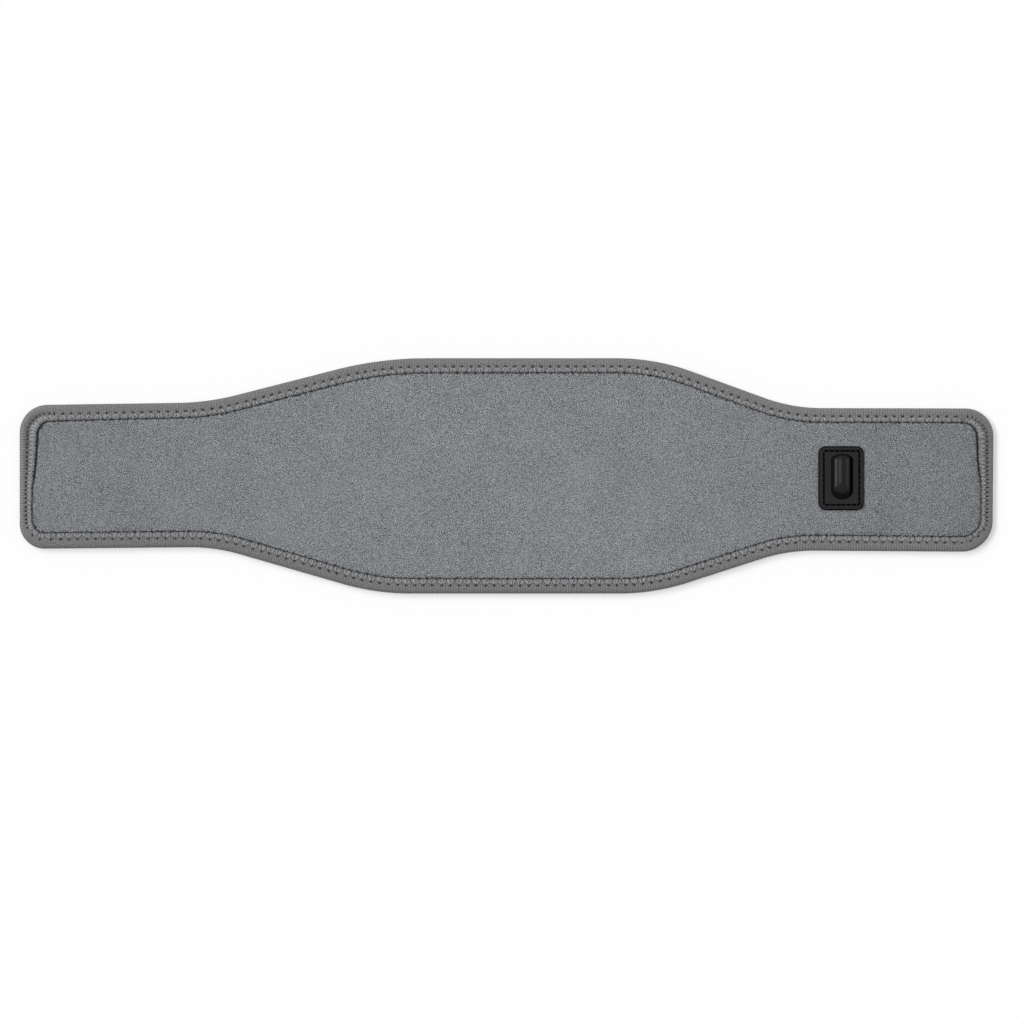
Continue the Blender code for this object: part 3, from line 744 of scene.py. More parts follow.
def moulded_rubber(name, dark, roughness, gleam=0.25):
    """Moulded silicone rubber. It is nearly black with a satin gleam, and its skin has a fine spark grain."""
    made, tree, shader = new_material(name, {"IOR": 1.41, "Specular IOR Level": gleam})
    place = add_node(tree, "ShaderNodeTexCoord", {}, "Object")
    grain = add_node(tree, "ShaderNodeTexNoise", {"Vector": place, "Scale": 1 / GRAIN_SIZE, "Detail": 2.0})
    dust = add_node(tree, "ShaderNodeTexNoise", {"Vector": place, "Scale": 1 / DUST_SIZE, "Detail": 4.0})
    colour = add_node(tree, "ShaderNodeMix", {0: dust, MIX_A: dark, MIX_B: scaled(dark, 2.4)}, **MIX)
    gloss = add_node(tree, "ShaderNodeMapRange", {
        "Value": dust, "To Min": roughness - 0.05, "To Max": roughness + 0.05})
    bump = add_node(tree, "ShaderNodeBump", {"Height": grain, "Strength": 0.12, "Distance": 0.05 * MM})
    feed(shader, {"Base Color": colour, "Roughness": gloss, "Normal": bump})
    return made


def nylon_hooks(seam):
    """Moulded nylon hook tape. Its rows of small hooks catch the light over a dull woven base."""
    made, tree, shader = new_material("nylon_hook_tape", {"Roughness": 0.45, "IOR": 1.53})
    place = add_node(tree, "ShaderNodeTexCoord", {}, "Object")
    weave = add_node(tree, "ShaderNodeTexNoise", {"Vector": place, "Scale": 1 / HOOK_WEAVE, "Detail": 2.0})
    dark = scaled(seam.hook_colour, 0.5)
    colour = add_node(tree, "ShaderNodeMix", {0: weave, MIX_A: dark, MIX_B: seam.hook_colour}, **MIX)
    feed(shader, {"Base Color": colour})
    return made


def striped(name, colour, stripe, pitch, values):
    """A thin sheet with lines across it, such as a heating film's printed tracks or a lead's cores."""
    made, tree, shader = new_material(name, values)
    place = add_node(tree, "ShaderNodeTexCoord", {}, "Object")
    lines = add_node(tree, "ShaderNodeTexWave", {"Vector": place, "Scale": wave_scale(pitch)}, "Fac",
                     bands_direction="Y", wave_profile="SIN")
    sharp = add_node(tree, "ShaderNodeMapRange", {"Value": lines, "From Min": 0.55, "From Max": 0.7})
    lined = add_node(tree, "ShaderNodeMix", {0: sharp, MIX_A: colour, MIX_B: stripe}, **MIX)
    feed(shader, {"Base Color": lined})
    return made


class BRACE_OT_face(bpy.types.Operator):
    """Lay the brushed plush face over the foam, dipped all round where the binding holds it down"""

    bl_idname = "brace.face"
    bl_label = "Plush face"
    column_gap = 1.5 * MM
    rows = 130
    tuft_spread = 2.6
    patch_press = 0.7 * MM
    # Painted shade on the pile round the control patch, and how fast it fades
    patch_shade = 0.4
    patch_fade = 0.5 * MM

    def execute(self, context):
        cloth = context.scene.brace_cloth
        material = brushed_plush(cloth)
        distance = lip_distance()
        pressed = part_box("control_patch")[0].z - self.patch_press
        for strip in STRIPS:
            x, y = strip_net(strip, self.column_gap, self.rows)
            gap, pull = distance(x, y)
            rise = 1 - fading(gap, CREVICE_WIDTH)
            skin = FACE_UNDER_TAPE + rise * (FACE_TOP + cloth.pile_depth - FACE_UNDER_TAPE)
            skin += rise * cloth.pile_depth * tufts(x, y, self.tuft_spread * cloth.tuft_size)
            beside = beside_patch(x, y)
            skin = np.where(beside < 0, np.minimum(skin, pressed), skin)
            # Painted shade on the pile: in the crevice by the binding, near its lip, over the ends and round
            # the control patch
            shade = np.maximum(crevice_shade(x, gap, pull), end_shade(x) + lip_shade(gap, pull))
            shade = np.maximum(shade, self.patch_shade * fading(beside, self.patch_fade))
            shape = slab(x, y, skin, FACE_BOTTOM)
            face = add_piece(f"face_cloth_{strip.name}", shape, material, rest=shape[0],
                             shade=fill_back(shade, shape))
            lay(face, strip, strip.nodes("face"))
            declare_cloth(x, y)
        return {"FINISHED"}


def beside_patch(x, y):
    """How far those places lie outside the control patch with its round corners, below 0 under it."""
    low, top = (corner + PATCH_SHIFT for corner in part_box("control_patch"))
    out_x = np.abs(x - (low.x + top.x) / 2) - (top.x - low.x) / 2 + PATCH_CORNER
    out_y = np.abs(y - (low.y + top.y) / 2) - (top.y - low.y) / 2 + PATCH_CORNER
    inside = np.minimum(np.maximum(out_x, out_y), 0)
    return np.hypot(np.maximum(out_x, 0), np.maximum(out_y, 0)) + inside - PATCH_CORNER


def crevice_shade(x, gap, pull):
    """Painted shade in the crevice beside the binding's lip: a thin broken line, wide where the seam pulls
    hard.
    """
    wander = np.array([noise.noise((place / CREVICE_BREAK, 0, 0)) for place in x[:, 0]])[:, None] * (1 - pull)
    width = (0.75 + 0.65 * pull + 1.4 * wander) * MM
    fade = (0.45 + 0.45 * pull) * MM
    return np.clip(0.9 + 0.1 * pull + 1.2 * wander, 0, 1) * fading(gap - width, fade)


def lip_shade(gap, pull):
    """Painted shade on the pile near the binding's lip, deeper where the seam pulls hard."""
    return (0.05 + 0.11 * pull) * fading(gap, 6 * MM)


def end_shade(x, left=0.07, right=0.15):
    """Painted shade that darkens the ends, as if the light fell off there."""
    return np.where(x > 0, right, left) * smooth((np.abs(x) - END_START) / END_RUN)


def tip_shade(x, right, left=0.06):
    """How much darker the binding or its seam lies round the tips."""
    return np.where(x > 0, right, left) * smooth((np.abs(x) - TIP_START) / TIP_RUN)


def tufts(x, y, size):
    """How the pile stands at those places, from -1 to 1: tufts of that size on broader clumps."""
    found = []
    for place in zip(x.ravel(), y.ravel()):
        at = Vector((*place, 0)) / size
        found.append(0.6 * noise.noise(at * 0.8) + 0.4 * noise.noise(at * 0.3 + Vector((7, 3, 5))))
    return np.array(found).reshape(x.shape)


def fill_back(values, shape):
    """Values for a slab's points: those of its skin, and 0 on its back."""
    return np.concatenate([values.ravel(), np.zeros(len(shape[0]) - values.size)])


def declare_cloth(x, y):
    """Work out the area of a strip of cloth from its net; the area is not kept."""
    area = np.trapz(y[:, -1] - y[:, 0], x[:, 0])


class BRACE_OT_core(bpy.types.Operator):
    """Lay the foam core, hollowed under for the heating film and its lead"""

    bl_idname = "brace.core"
    bl_label = "Foam core"
    column_gap = 5 * MM
    rows = 40
    pocket_room = 0.3 * MM

    def execute(self, context):
        material = open_foam(context.scene.brace_cloth)
        margin = self.column_gap
        pockets = [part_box(node) for node in frame["nodes"] if node.startswith(("heating", "thermal", "lead"))]
        for strip in STRIPS:
            x, y = strip_net(strip, self.column_gap, self.rows)
            skin = np.full(x.shape, CORE_BOTTOM)
            for low, top in pockets:
                inside = (x > low.x - margin) & (x < top.x + margin)
                inside &= (y > low.y - margin) & (y < top.y + margin)
                skin = np.where(inside, np.maximum(skin, top.z + self.pocket_room), skin)
            shape = slab(x, y, skin, CORE_TOP)
            foam = add_piece(f"foam_{strip.name}", shape, material, rest=shape[0])
            lay(foam, strip, strip.nodes("core"))
        return {"FINISHED"}


class BRACE_OT_lining(bpy.types.Operator):
    """Lay the knitted lining on the body side"""

    bl_idname = "brace.lining"
    bl_label = "Knitted lining"
    column_gap = 2.4 * MM
    rows = 70
    ripple = 0.08 * MM
    ripple_size = 9 * MM
    # Painted shade on the lining beside the binding's edge: its strength, where it is deepest and how fast it
    # fades
    edge_shade = 0.8
    edge_gap = 0.2 * MM
    edge_fade = 1.0 * MM

    def execute(self, context):
        material = knitted_lining(context.scene.brace_cloth)
        distance = lip_distance()
        for strip in STRIPS:
            x, y = strip_net(strip, self.column_gap, self.rows)
            gap, _ = distance(x, y)
            fall = 1 - fading(gap, CREVICE_WIDTH)
            skin = LINING_OVER_TAPE + fall * (LINING_BOTTOM - LINING_OVER_TAPE)
            skin += fall * self.ripple * tufts(x, y, self.ripple_size)
            shade = self.edge_shade * np.exp(-((gap - self.edge_gap) / self.edge_fade) ** 2)
            shape = slab(x, y, skin, LINING_TOP)
            lining = add_piece(f"lining_cloth_{strip.name}", shape, material, rest=shape[0],
                               shade=fill_back(shade, shape))
            lay(lining, strip, strip.nodes("lining"))
            declare_cloth(x, y)
        return {"FINISHED"}


class BRACE_OT_binding(bpy.types.Operator):
    """Fold the ribbed binding round the edge, dimpled where the needle went through"""

    bl_idname = "brace.binding"
    bl_label = "Binding"

    def execute(self, context):
        material = ribbed_tape(context.scene.brace_cloth)
        along = np.linspace(0, EDGE.length, round(EDGE.length / TAPE_STEP), endpoint=False)
        points, coordinates, shade, rib = binding_net(along, context.scene.brace_seam)
        place, normal = EDGE.at(along)
        for strip in STRIPS:
            for name, rows, nodes in binding_runs(strip, place[:, 0], normal[:, 1] > 0):
                tape = add_piece(f"tape_{name}", loft(points[rows]), material,
                                 rest=coordinates[rows].reshape(-1, 3), shade=shade[rows].ravel(),
                                 rib=rib[rows].ravel())
                lay(tape, strip, nodes)
                _, around = ring_lengths(points[rows[0]])
        return {"FINISHED"}


def binding_runs(strip, x, upward):
    """Name, rows along the edge and CAD nodes of each length of binding on a strip."""
    count = len(x)
    inside = (x >= strip.start) & (x <= strip.stop)
    if strip.name.endswith("tip"):
        rows = np.flatnonzero(inside)
        jump = np.flatnonzero(np.diff(rows) > 1)
        if len(jump):
            rows = np.roll(rows, -jump[0] - 1)
        return [(strip.name, np.append(rows, (rows[-1] + 1) % count), strip.nodes("binding"))]
    runs = []
    for side, part in (("low", inside & upward), ("top", inside & ~upward)):
        rows = np.flatnonzero(part)
        runs.append((f"{side}_{strip.name}", np.append(rows, (rows[-1] + 1) % count),
                     strip.nodes(f"binding_{side}")))
    return runs


def tape_loop():
    """The binding's closed section, as its points' depth, height and rib share, and which points show."""
    top = np.array(TAPE_SECTION)
    low = top[-2::-1] * np.array((1, -1, 1))
    back = np.array([(depth, -height, 0) for depth, height in TAPE_BACK])
    back = np.concatenate([back, back[::-1] * np.array((1, -1, 0))])
    section = np.concatenate([top, low, back]) * np.array((MM, MM, 1))
    return section, np.arange(len(section)) < len(top) + len(low)


def end_share(pull):
    """How much the binding is sewn as across the ends, from 0 to 1."""
    return np.minimum(3 * pull, 1)


def needle_sink(along, depth, needle, lip, pull, seam):
    """How far the binding is drawn in, from 0 to 1, round each needle hole and each turn at the lip."""
    at_end = end_share(pull)
    holes = stitch_places(seam)
    outer = nearest_gap(along, holes)[:, None]
    inner = nearest_gap(along, halfway(holes))[:, None]
    # A hole is longer along the sides, and drawn out towards the edge across the ends
    wide = 1.3 - 0.3 * at_end
    out = np.where(depth < needle, 1 + 1.2 * at_end, 1)
    at_needle = np.exp(-((outer / wide) ** 2 + (wide * (depth - needle) / out) ** 2) / seam.hole_radius ** 2)
    at_lip = np.exp(-(inner ** 2 + (depth - lip) ** 2) / seam.hole_radius ** 2)
    return np.maximum((1 - 0.4 * at_end) * at_needle, 0.8 * at_lip)


def tape_shade(place, normal, depth, needle, lip, pull, sink, skin):
    """How dark the binding is, from 0 to 1: the darkest of all that darkens it, mostly painted shade."""
    strands = np.random.default_rng(SEED).uniform(0, 0.4, depth.shape)
    past_needle = smooth((depth - needle) / (1.5 * MM))
    # Painted shade in the valley before the needle line and on the sides of the round welt, where the seam
    # pulls
    valley = 0.55 * smooth((depth - 2 * MM) / (needle - 2 * MM)) * (depth <= needle + 0.2 * MM)
    welt = 0.4 * np.abs(2 * (depth - needle) / (lip - needle) - 1) ** 3 * (depth > needle)
    # A darkening all over, with painted shade on the lower side that faces away from the light; it is left off
    # the ends' outer fold, which paints light there
    plain = 0.13 + 0.07 * np.maximum(normal[:, 1:], 0)
    tips = tip_shade(place[:, :1], 0.46) * (0.55 + 0.45 * past_needle)
    # The ends' painted shade, and the darker tips
    wear_and_end_shade = np.maximum(end_shade(place[:, :1]), tips)
    # Painted shade in the needle holes and at the zigzag's turns, random dark strands past the needle line, and
    # a darker line along the outer edge
    shade = np.maximum.reduce([
        np.minimum(2.2 * sink, 1),
        strands * past_needle * skin,
        pull * np.maximum(valley, np.minimum(welt, 1)) * skin,
        plain * (1 - end_share(pull) * smooth(2 - depth / (2 * MM))),
        0.22 * smooth(1 - depth / (1.4 * MM)) * np.abs(normal[:, 1:]),
        wear_and_end_shade * smooth(depth / (2.5 * MM) - 0.4)])
    # Painted shade under the binding's inner lip
    return np.where(np.arange(len(skin)) < TAPE_LIP_POINTS, 0.9, shade)


def binding_net(along, seam):
    """Points, pattern coordinates, shade and rib of the binding: a row along the edge, a column round it."""
    section, skin = tape_loop()
    run = np.roll(section, -1, axis=0)[:, :2] - np.roll(section, 1, axis=0)[:, :2]
    outward = unit(np.stack([run[:, 1], -run[:, 0]], axis=1))
    place, normal = EDGE.at(along)
    needle, lip, pull = (values[:, None] for values in tape_at(along))
    depth = spread_depth(section[None, :, 0], needle, lip)
    sink = needle_sink(along, depth, needle, lip, pull, seam) * skin
    shade = tape_shade(place, normal, depth, needle, lip, pull, sink, skin)
    lift = -0.8 * seam.hole_radius * sink
    depth = depth + lift * outward[None, :, 0]
    height = np.maximum(MIDDLE + section[None, :, 1] + lift * outward[None, :, 1], 0)
    flat = place[:, None] + normal[:, None] * depth[..., None]
    points = np.concatenate([flat, height[..., None]], axis=-1)
    reach = np.concatenate([[0], np.cumsum(np.linalg.norm(np.diff(section[:, :2], axis=0), axis=1))])
    coordinates = np.stack(np.broadcast_arrays(along[:, None], reach[None], 0.0), axis=-1)
    return points, coordinates, shade, np.broadcast_to(0.33 * section[:, 2] ** 2, shade.shape)


class BRACE_OT_seam(bpy.types.Operator):
    """Sew the zigzag seam that holds the binding, on the face and on the body side"""

    bl_idname = "brace.seam"
    bl_label = "Zigzag seam"
    sides = 6
    tip_darkening = 0.16

    def execute(self, context):
        seam = context.scene.brace_seam
        material = spun_thread("spun_polyester_thread", seam.thread_colour)
        stray = np.random.default_rng(SEED)
        holes = stitch_places(seam)
        turns = halfway(holes)
        middles = EDGE.at(holes)[0][:, 0]
        for strip in STRIPS:
            parts = []
            for index in np.flatnonzero([strip.holds(x) for x in middles]):
                before = turns[index - 1] - (EDGE.length if index == 0 else 0)
                loose = before + (turns[index] - before) * stray.uniform(0.2, 0.8)
                for turn in (before, loose, turns[index]):
                    for path in zigzag_leg(holes[index], turn, seam, stray):
                        under = path * np.array((1, 1, -1)) + np.array((0, 0, 2 * MIDDLE))
                        under[:, 2] = np.maximum(under[:, 2], seam.thread_radius)
                        parts += [tube(side, seam.thread_radius, self.sides) for side in (path, under)]
            shape = joined(parts)
            thread = add_piece(f"zigzag_{strip.name}", shape, material, rest=shape[0],
                               shade=tip_shade(shape[0][:, 0], self.tip_darkening))
            lay(thread, strip)
        return {"FINISHED"}


def zigzag_leg(hole, turn, seam, stray):
    """The two twisted plies of one leg, from a needle hole on the binding to the turn at its inner lip."""
    share = np.linspace(0, 1, 9)
    start, stop = stray.uniform((0.05, 0.55), (0.35, 1.0))
    along = hole + (turn - hole) * (start + (stop - start) * share)
    place, normal = EDGE.at(along)
    first, last = stray.uniform((0.6, 0.2), (2.2, 2.0)) * MM
    depth = NEEDLE_DEPTH + first + (TAPE_WIDTH - last - NEEDLE_DEPTH - first) * share
    height = tape_height(depth) + seam.thread_radius * (2.6 * np.sqrt(np.abs(np.sin(math.pi * share))) - 1.4)
    depth = spread_depth(depth, *tape_at(along)[:2])
    middle = np.concatenate([place + normal * depth[:, None], height[:, None]], axis=1)
    run = unit(np.gradient(middle, axis=0))
    across = unit(np.cross(run, (0, 0, 1.0)))
    over = np.cross(across, run)
    for ply in (0, math.pi):
        angle = (ply + 2 * math.pi * share)[:, None]
        yield middle + seam.thread_radius * 0.95 * (np.cos(angle) * across + 0.6 * np.sin(angle) * over)


class BRACE_OT_hook(bpy.types.Operator):
    """Sew the hook panel to the body side of the right end"""

    bl_idname = "brace.hook"
    bl_label = "Hook panel"
    base_share = 0.45
    corner_radius = 6 * MM
    edge_round = 0.1 * MM
    # The base is made of nested rings: their insets as shares of its half width
    ring_shares = (0.9, 0.6, 0.3)
    # One hook as it stands on the base, in shares of the height over it
    hook_path = ((0, 0, 0), (0, 0, -0.5), (0.5, 0, -0.95), (1.1, 0, -0.9), (1.4, 0, -0.55))
    hook_radius = 0.14 * MM
    hook_sides = 5
    hook_margin = 3.5 * MM
    seam_inset = 2.2 * MM
    seam_pitch = 3.6 * MM
    seam_share = 0.7
    seam_radius = 0.25 * MM

    def execute(self, context):
        seam = context.scene.brace_seam
        low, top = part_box("hook_panel")
        base = top.z - (top.z - low.z) * self.base_share
        centre, size = (low + top) / 2, top - low
        inner = min(size.x, size.y) / 2 * np.array(self.ring_shares)
        levels = [(inset, top.z) for inset in (*inner, 2 * self.edge_round)]
        levels += [(0, top.z - self.edge_round), (0, base + self.edge_round)]
        levels += [(inset, base) for inset in (3 * self.edge_round, *inner[::-1])]
        rings = [rounded_ring(centre, size, self.corner_radius, inset, z) for inset, z in levels]
        parts = [loft(rings)]
        path = np.array(self.hook_path) * (base - low.z)
        across, up = (np.arange(start + self.hook_margin, stop - self.hook_margin, seam.hook_pitch)
                      for start, stop in ((low.x, top.x), (low.y, top.y)))
        for column, x in enumerate(across):
            way = np.array((1 if column % 2 else -1, 1, 1))
            for y in up + (seam.hook_pitch / 2 if column % 2 else 0):
                parts.append(tube(path * way + np.array((x, y, base)), self.hook_radius, self.hook_sides))
        strip = STRIPS[-1]
        panel = add_piece("hook_tape", joined(parts), nylon_hooks(seam))
        lay(panel, strip, ["hook_panel"])
        ring = rounded_ring(centre, size, self.corner_radius, self.seam_inset, base)
        stitches = joined(running_stitch(ring, self.seam_pitch, self.seam_share, self.seam_radius))
        black = spun_thread("black_thread", linear("#2f2f30"))
        thread = add_piece("hook_seam", stitches, black, rest=stitches[0])
        lay(thread, strip)
        return {"FINISHED"}


def rounded_ring(centre, size, radius, inset, z, corner_steps=8, side_steps=60):
    """Points round a rectangle with round corners, drawn in by inset, as many on every such ring."""
    half = np.array(size[:2]) / 2 - inset
    radius = max(radius - inset, 0.3 * MM)
    signs = np.array(((1, 1), (-1, 1), (-1, -1), (1, -1)))
    middles = np.array(centre[:2]) + signs * (half - radius)
    points = []
    for quarter, (middle, ahead) in enumerate(zip(middles, np.roll(middles, -1, axis=0))):
        for step in range(corner_steps + 1):
            angle = math.pi / 2 * (quarter + step / corner_steps)
            spoke = radius * np.array((math.cos(angle), math.sin(angle)))
            points.append(middle + spoke)
        for step in range(1, side_steps):
            points.append(middle + spoke + (ahead - middle) * step / side_steps)
    return np.concatenate([np.array(points), np.full((len(points), 1), z)], axis=1)


def ring_lengths(ring):
    """Length along a closed ring at each of its points, and the whole length."""
    gaps = np.linalg.norm(np.roll(ring, -1, axis=0) - ring, axis=1)
    return np.concatenate([[0], np.cumsum(gaps)[:-1]]), gaps.sum()


def running_stitch(ring, pitch, share, radius):
    """Threads laid along a closed ring: each covers that share of its pitch and dips at both ends."""
    along, length = ring_lengths(ring)
    count = round(length / pitch)
    closed = np.concatenate([ring, ring[:1]])
    marks = np.append(along, length)
    dip = radius * np.array((1, 0.3, 0, 0, 0, 0.3, 1))
    parts = []
    for index in range(count):
        steps = (index + np.linspace(0, share, len(dip))) * length / count
        path = np.stack([np.interp(steps, marks, closed[:, k]) for k in range(3)], axis=1)
        path[:, 2] -= dip
        parts.append(tube(path, radius, 6))
    return parts


class BRACE_OT_heater(bpy.types.Operator):
    """Lay the heating film, its thermal cut-out and its flat lead under the foam"""

    bl_idname = "brace.heater"
    bl_label = "Heater"
    column_gap = 4 * MM
    columns_across = 5
    track_pitch = 9 * MM
    core_pitch = 1.7 * MM
    case_corner = 1.7 * MM
    case_round = 0.3 * MM

    def execute(self, context):
        control = context.scene.brace_control
        film = striped("polyimide_heating_film", control.film_colour, linear("#9a5a34"), self.track_pitch,
                       {"Roughness": 0.3, "IOR": 1.7})
        lead = striped("flat_silicone_lead", linear("#1d1d1e"), linear("#333334"), self.core_pitch,
                       {"Roughness": 0.5})
        case = moulded_rubber("moulded_thermal_cutout", control.rubber_colour, 0.4)
        for strip in STRIPS:
            if strip.joint["name"].endswith("bend_1"):
                nodes = ["heating_film"] if strip.start == 0 else []
                self.lay_band("heating_film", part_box("heating_film"), strip, film, "film", nodes)
        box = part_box("lead_centre")[0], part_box("lead_right_3")[1]
        # The lead runs over the first three strips on the right, and the cut-out lies on the first of them
        lead_strips = STRIPS[4:7]
        for strip in lead_strips:
            self.lay_band("flat_lead", box, strip, lead, "lead", strip.nodes("lead"))
        low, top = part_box("thermal_cutout")
        levels = ((0, low.z), (0, top.z - self.case_round), (self.case_round, top.z))
        rings = [rounded_ring((low + top) / 2, top - low, self.case_corner, inset, z, side_steps=4)
                 for inset, z in levels]
        cutout = add_piece("cutout_case", loft(rings), case)
        lay(cutout, lead_strips[0], ["thermal_cutout"])
        return {"FINISHED"}

    def lay_band(self, name, box, strip, material, slot, nodes):
        """The part of a flat band that lies on a strip."""
        low, top = box
        start, stop = max(low.x, strip.start), min(top.x, strip.stop)
        x = np.linspace(start, stop, round((stop - start) / self.column_gap) + 1)
        x = np.repeat(x[:, None], self.columns_across, axis=1)
        y = np.broadcast_to(np.linspace(low.y, top.y, self.columns_across), x.shape)
        band = add_piece(f"{name}_{strip.name}", slab(x, y, np.full(x.shape, top.z), low.z), material)
        lay(band, strip, nodes)


class BRACE_OT_control(bpy.types.Operator):
    """Mould the rubber patch and press dome, sew the patch on and finish the board and switch under it"""

    bl_idname = "brace.control"
    bl_label = "Control"
    stitch_radius = 0.7 * MM
    stitch_sink = 0.95
    # Faces of the patch take the dark matt rubber, as painted shade, from this shade on, but not on the rim's
    # right edge
    matt_shade = 0.55
    right_edge = 0.9 * MM
    track_pitch = 2.2 * MM

    def execute(self, context):
        control = context.scene.brace_control
        rubber = moulded_rubber("moulded_silicone_rubber", control.rubber_colour, 0.5)
        # A darker matt copy of the rubber paints shade on the patch's rim and sunk seam, and on the dome's foot
        # and right side
        matt = moulded_rubber("matt_silicone_edge", linear("#040404"), 0.85, gleam=0.02)
        low, top = (corner + PATCH_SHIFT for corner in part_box("control_patch"))
        rings, shade = patch_rings(low, top, control)
        shape = loft(rings, looped=True)
        patch = add_piece("rubber_patch", shape, rubber)
        faces = np.array(shape[1])
        painted_shade_faces = np.concatenate(shade)[faces].mean(axis=1) > self.matt_shade
        paint(patch, matt, painted_shade_faces & (shape[0][:, 0][faces].mean(axis=1) <= top.x - self.right_edge))
        fix(patch, "right_3", ["control_patch"])
        self.sew_patch(low, top, control)
        rings = dome_rings(top.z)
        shape = loft(rings)
        satin = moulded_rubber("satin_silicone_rubber", control.rubber_colour, 0.27, gleam=0.2)
        dome = add_piece("rubber_dome", shape, satin)
        middles = np.array([shape[0][face].mean(axis=0)[0] for face in shape[1]])
        # The dome's foot and its right side take the painted shade
        foot = np.arange(len(shape[1])) < DOME_SHADE_RINGS * len(rings[0])
        paint(dome, matt, foot | (middles > DOME_X + DOME_SHADE_SIDE))
        fix(dome, "dome", ["press_dome"])
        board = striped("glass_epoxy_board", control.board_colour, linear("#2d7a50"), self.track_pitch,
                        {"Roughness": 0.4, "IOR": 1.55})
        switch = moulded_rubber("moulded_nylon_switch", control.rubber_colour, 0.35)
        for node, material in (("control_board", board), ("push_switch", switch)):
            frame["nodes"][node].material_slots[0].material = material
        return {"FINISHED"}

    def sew_patch(self, low, top, control):
        """The thread in the patch's sunk seam."""
        ring = rounded_ring((low + top) / 2 + SEAM_SHIFT, top - low, SEAM_CORNER, SEAM_INSET,
                            top.z - self.stitch_sink * control.groove_depth)
        stitches = joined(running_stitch(ring, control.stitch_pitch, STITCH_SHARE, self.stitch_radius))
        waxed = spun_thread("waxed_thread", linear("#060606"), 0.0)
        thread = add_piece("patch_seam", stitches, waxed, rest=stitches[0])
        fix(thread, "right_3")


# Rings of the patch in millimetres: inset, height over the skirt's foot or the top, and how much painted shade
# they take
SKIRT_RINGS = ((0.25, 0, 0.9), (0, 0.3, 0.9))
RIM_RINGS = ((0, -1.1, 0.9), (0.15, -0.6, 0.9), (0.5, -0.2, 0.8), (1.1, 0, 0.35), (1.8, 0.1, 0))
# Rings of the sunk seam: offset in half widths of it, and share of its depth
GROOVE_RINGS = ((-1.4, 0), (-1.05, 0), (-0.8, 0.8), (-0.45, 1), (0.45, 1), (0.8, 0.8), (1.05, 0), (1.4, 0))
# Rings of the slot round the dome in millimetres: how far out they lie, and height over the top
SLOT_RINGS = ((0.6, 0), (0, 0), (0, -0.7))


def patch_rings(low, top, control):
    """Rings from the patch's skirt over its rim and sunk seam to the slot round the dome and back below."""
    centre, size = (low + top) / 2, top - low
    foot = low.z - PATCH_SKIRT
    rings, shade = [], []
    for start, levels in ((foot, SKIRT_RINGS), (top.z, RIM_RINGS)):
        for inset, height, dark in levels:
            rings.append(rounded_ring(centre, size, PATCH_CORNER, inset * MM, start + height * MM))
            shade.append(np.full(len(rings[0]), dark))
    along, length = ring_lengths(rounded_ring(centre, size, SEAM_CORNER, SEAM_INSET, top.z))
    phase = (along * round(length / control.stitch_pitch) / length) % 1
    from_stitch = np.abs((phase - STITCH_SHARE / 2 + 0.5) % 1 - 0.5)
    bridge = smooth((from_stitch - 0.3) / 0.08)
    # The sunk seam takes painted shade by its depth, less at the bridges between stitches
    for offset, share in GROOVE_RINGS:
        ring = rounded_ring(centre, size, SEAM_CORNER, SEAM_INSET + offset * SEAM_HALF, top.z)
        ring[:, :2] += SEAM_SHIFT[:2]
        ring[:, 2] -= control.groove_depth * share * (1 - 0.6 * bridge)
        rings.append(ring)
        shade.append(share * (1 - 0.5 * bridge))
    slot = nearest_on_dome(rings[-1])
    rings += [slot(DOME_GAP + out * MM, top.z + height * MM) for out, height in SLOT_RINGS]
    rings.append(slot(DOME_GAP, foot))
    shade += [np.zeros(len(rings[0]))] * (len(rings) - len(shade))
    return rings, shade


def dome_middles():
    """Where the dome's two round ends have their middles, along its middle line."""
    low, top = DOME_ENDS
    return low + DOME_BULGES[0] * DOME_HALF_WIDTH, top - DOME_BULGES[1] * DOME_HALF_WIDTH


def nearest_on_dome(ring):
    """A function that gives a ring round the dome, drawn out by grow, with a point for each of the ring's."""
    low, top = dome_middles()
    middle = np.clip(ring[:, 1], low, top)
    bulge = np.where(ring[:, 1] > top, DOME_BULGES[1], DOME_BULGES[0])
    way = unit(np.stack([ring[:, 0] - DOME_X, (ring[:, 1] - middle) / bulge], axis=1))

    def slot(grow, z):
        x = DOME_X + way[:, 0] * (DOME_HALF_WIDTH + grow)
        y = middle + way[:, 1] * (DOME_HALF_WIDTH * bulge + grow)
        return np.stack([x, y, np.full(len(x), z)], axis=1)

    return slot


def dome_rings(patch_top):
    """Rings up the press dome: a straight foot in the slot, steep sides and a leaning crown."""
    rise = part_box("press_dome")[1].z - patch_top
    low, top = dome_middles()
    reach = np.linspace(DOME_HALF_WIDTH, 0, 45)
    tilt = np.radians(np.interp(reach, *(np.array(DOME_TILTS) * (MM, 1)).T))
    climb = np.concatenate([[0], np.cumsum((np.tan(tilt[:-1]) + np.tan(tilt[1:])) / 2)])
    heights = patch_top + rise * climb / climb[-1]
    angle = np.linspace(0, 2 * math.pi, 96, endpoint=False)
    upper = np.sin(angle) >= 0
    rings = []
    for radius, height in [(DOME_HALF_WIDTH, patch_top - DOME_FOOT), *zip(reach, heights)]:
        share = 1 - radius / DOME_HALF_WIDTH
        x = DOME_X - DOME_SLANT * min(2 * share, 1)
        radius = max(radius, 0.05 * MM)
        middle = np.where(upper, top, low + DOME_LEAN * share)
        y = middle + radius * np.sin(angle) * np.where(upper, *DOME_BULGES[::-1])
        rings.append(np.stack([x + radius * np.cos(angle), y, np.full(len(angle), height)], axis=1))
    return rings


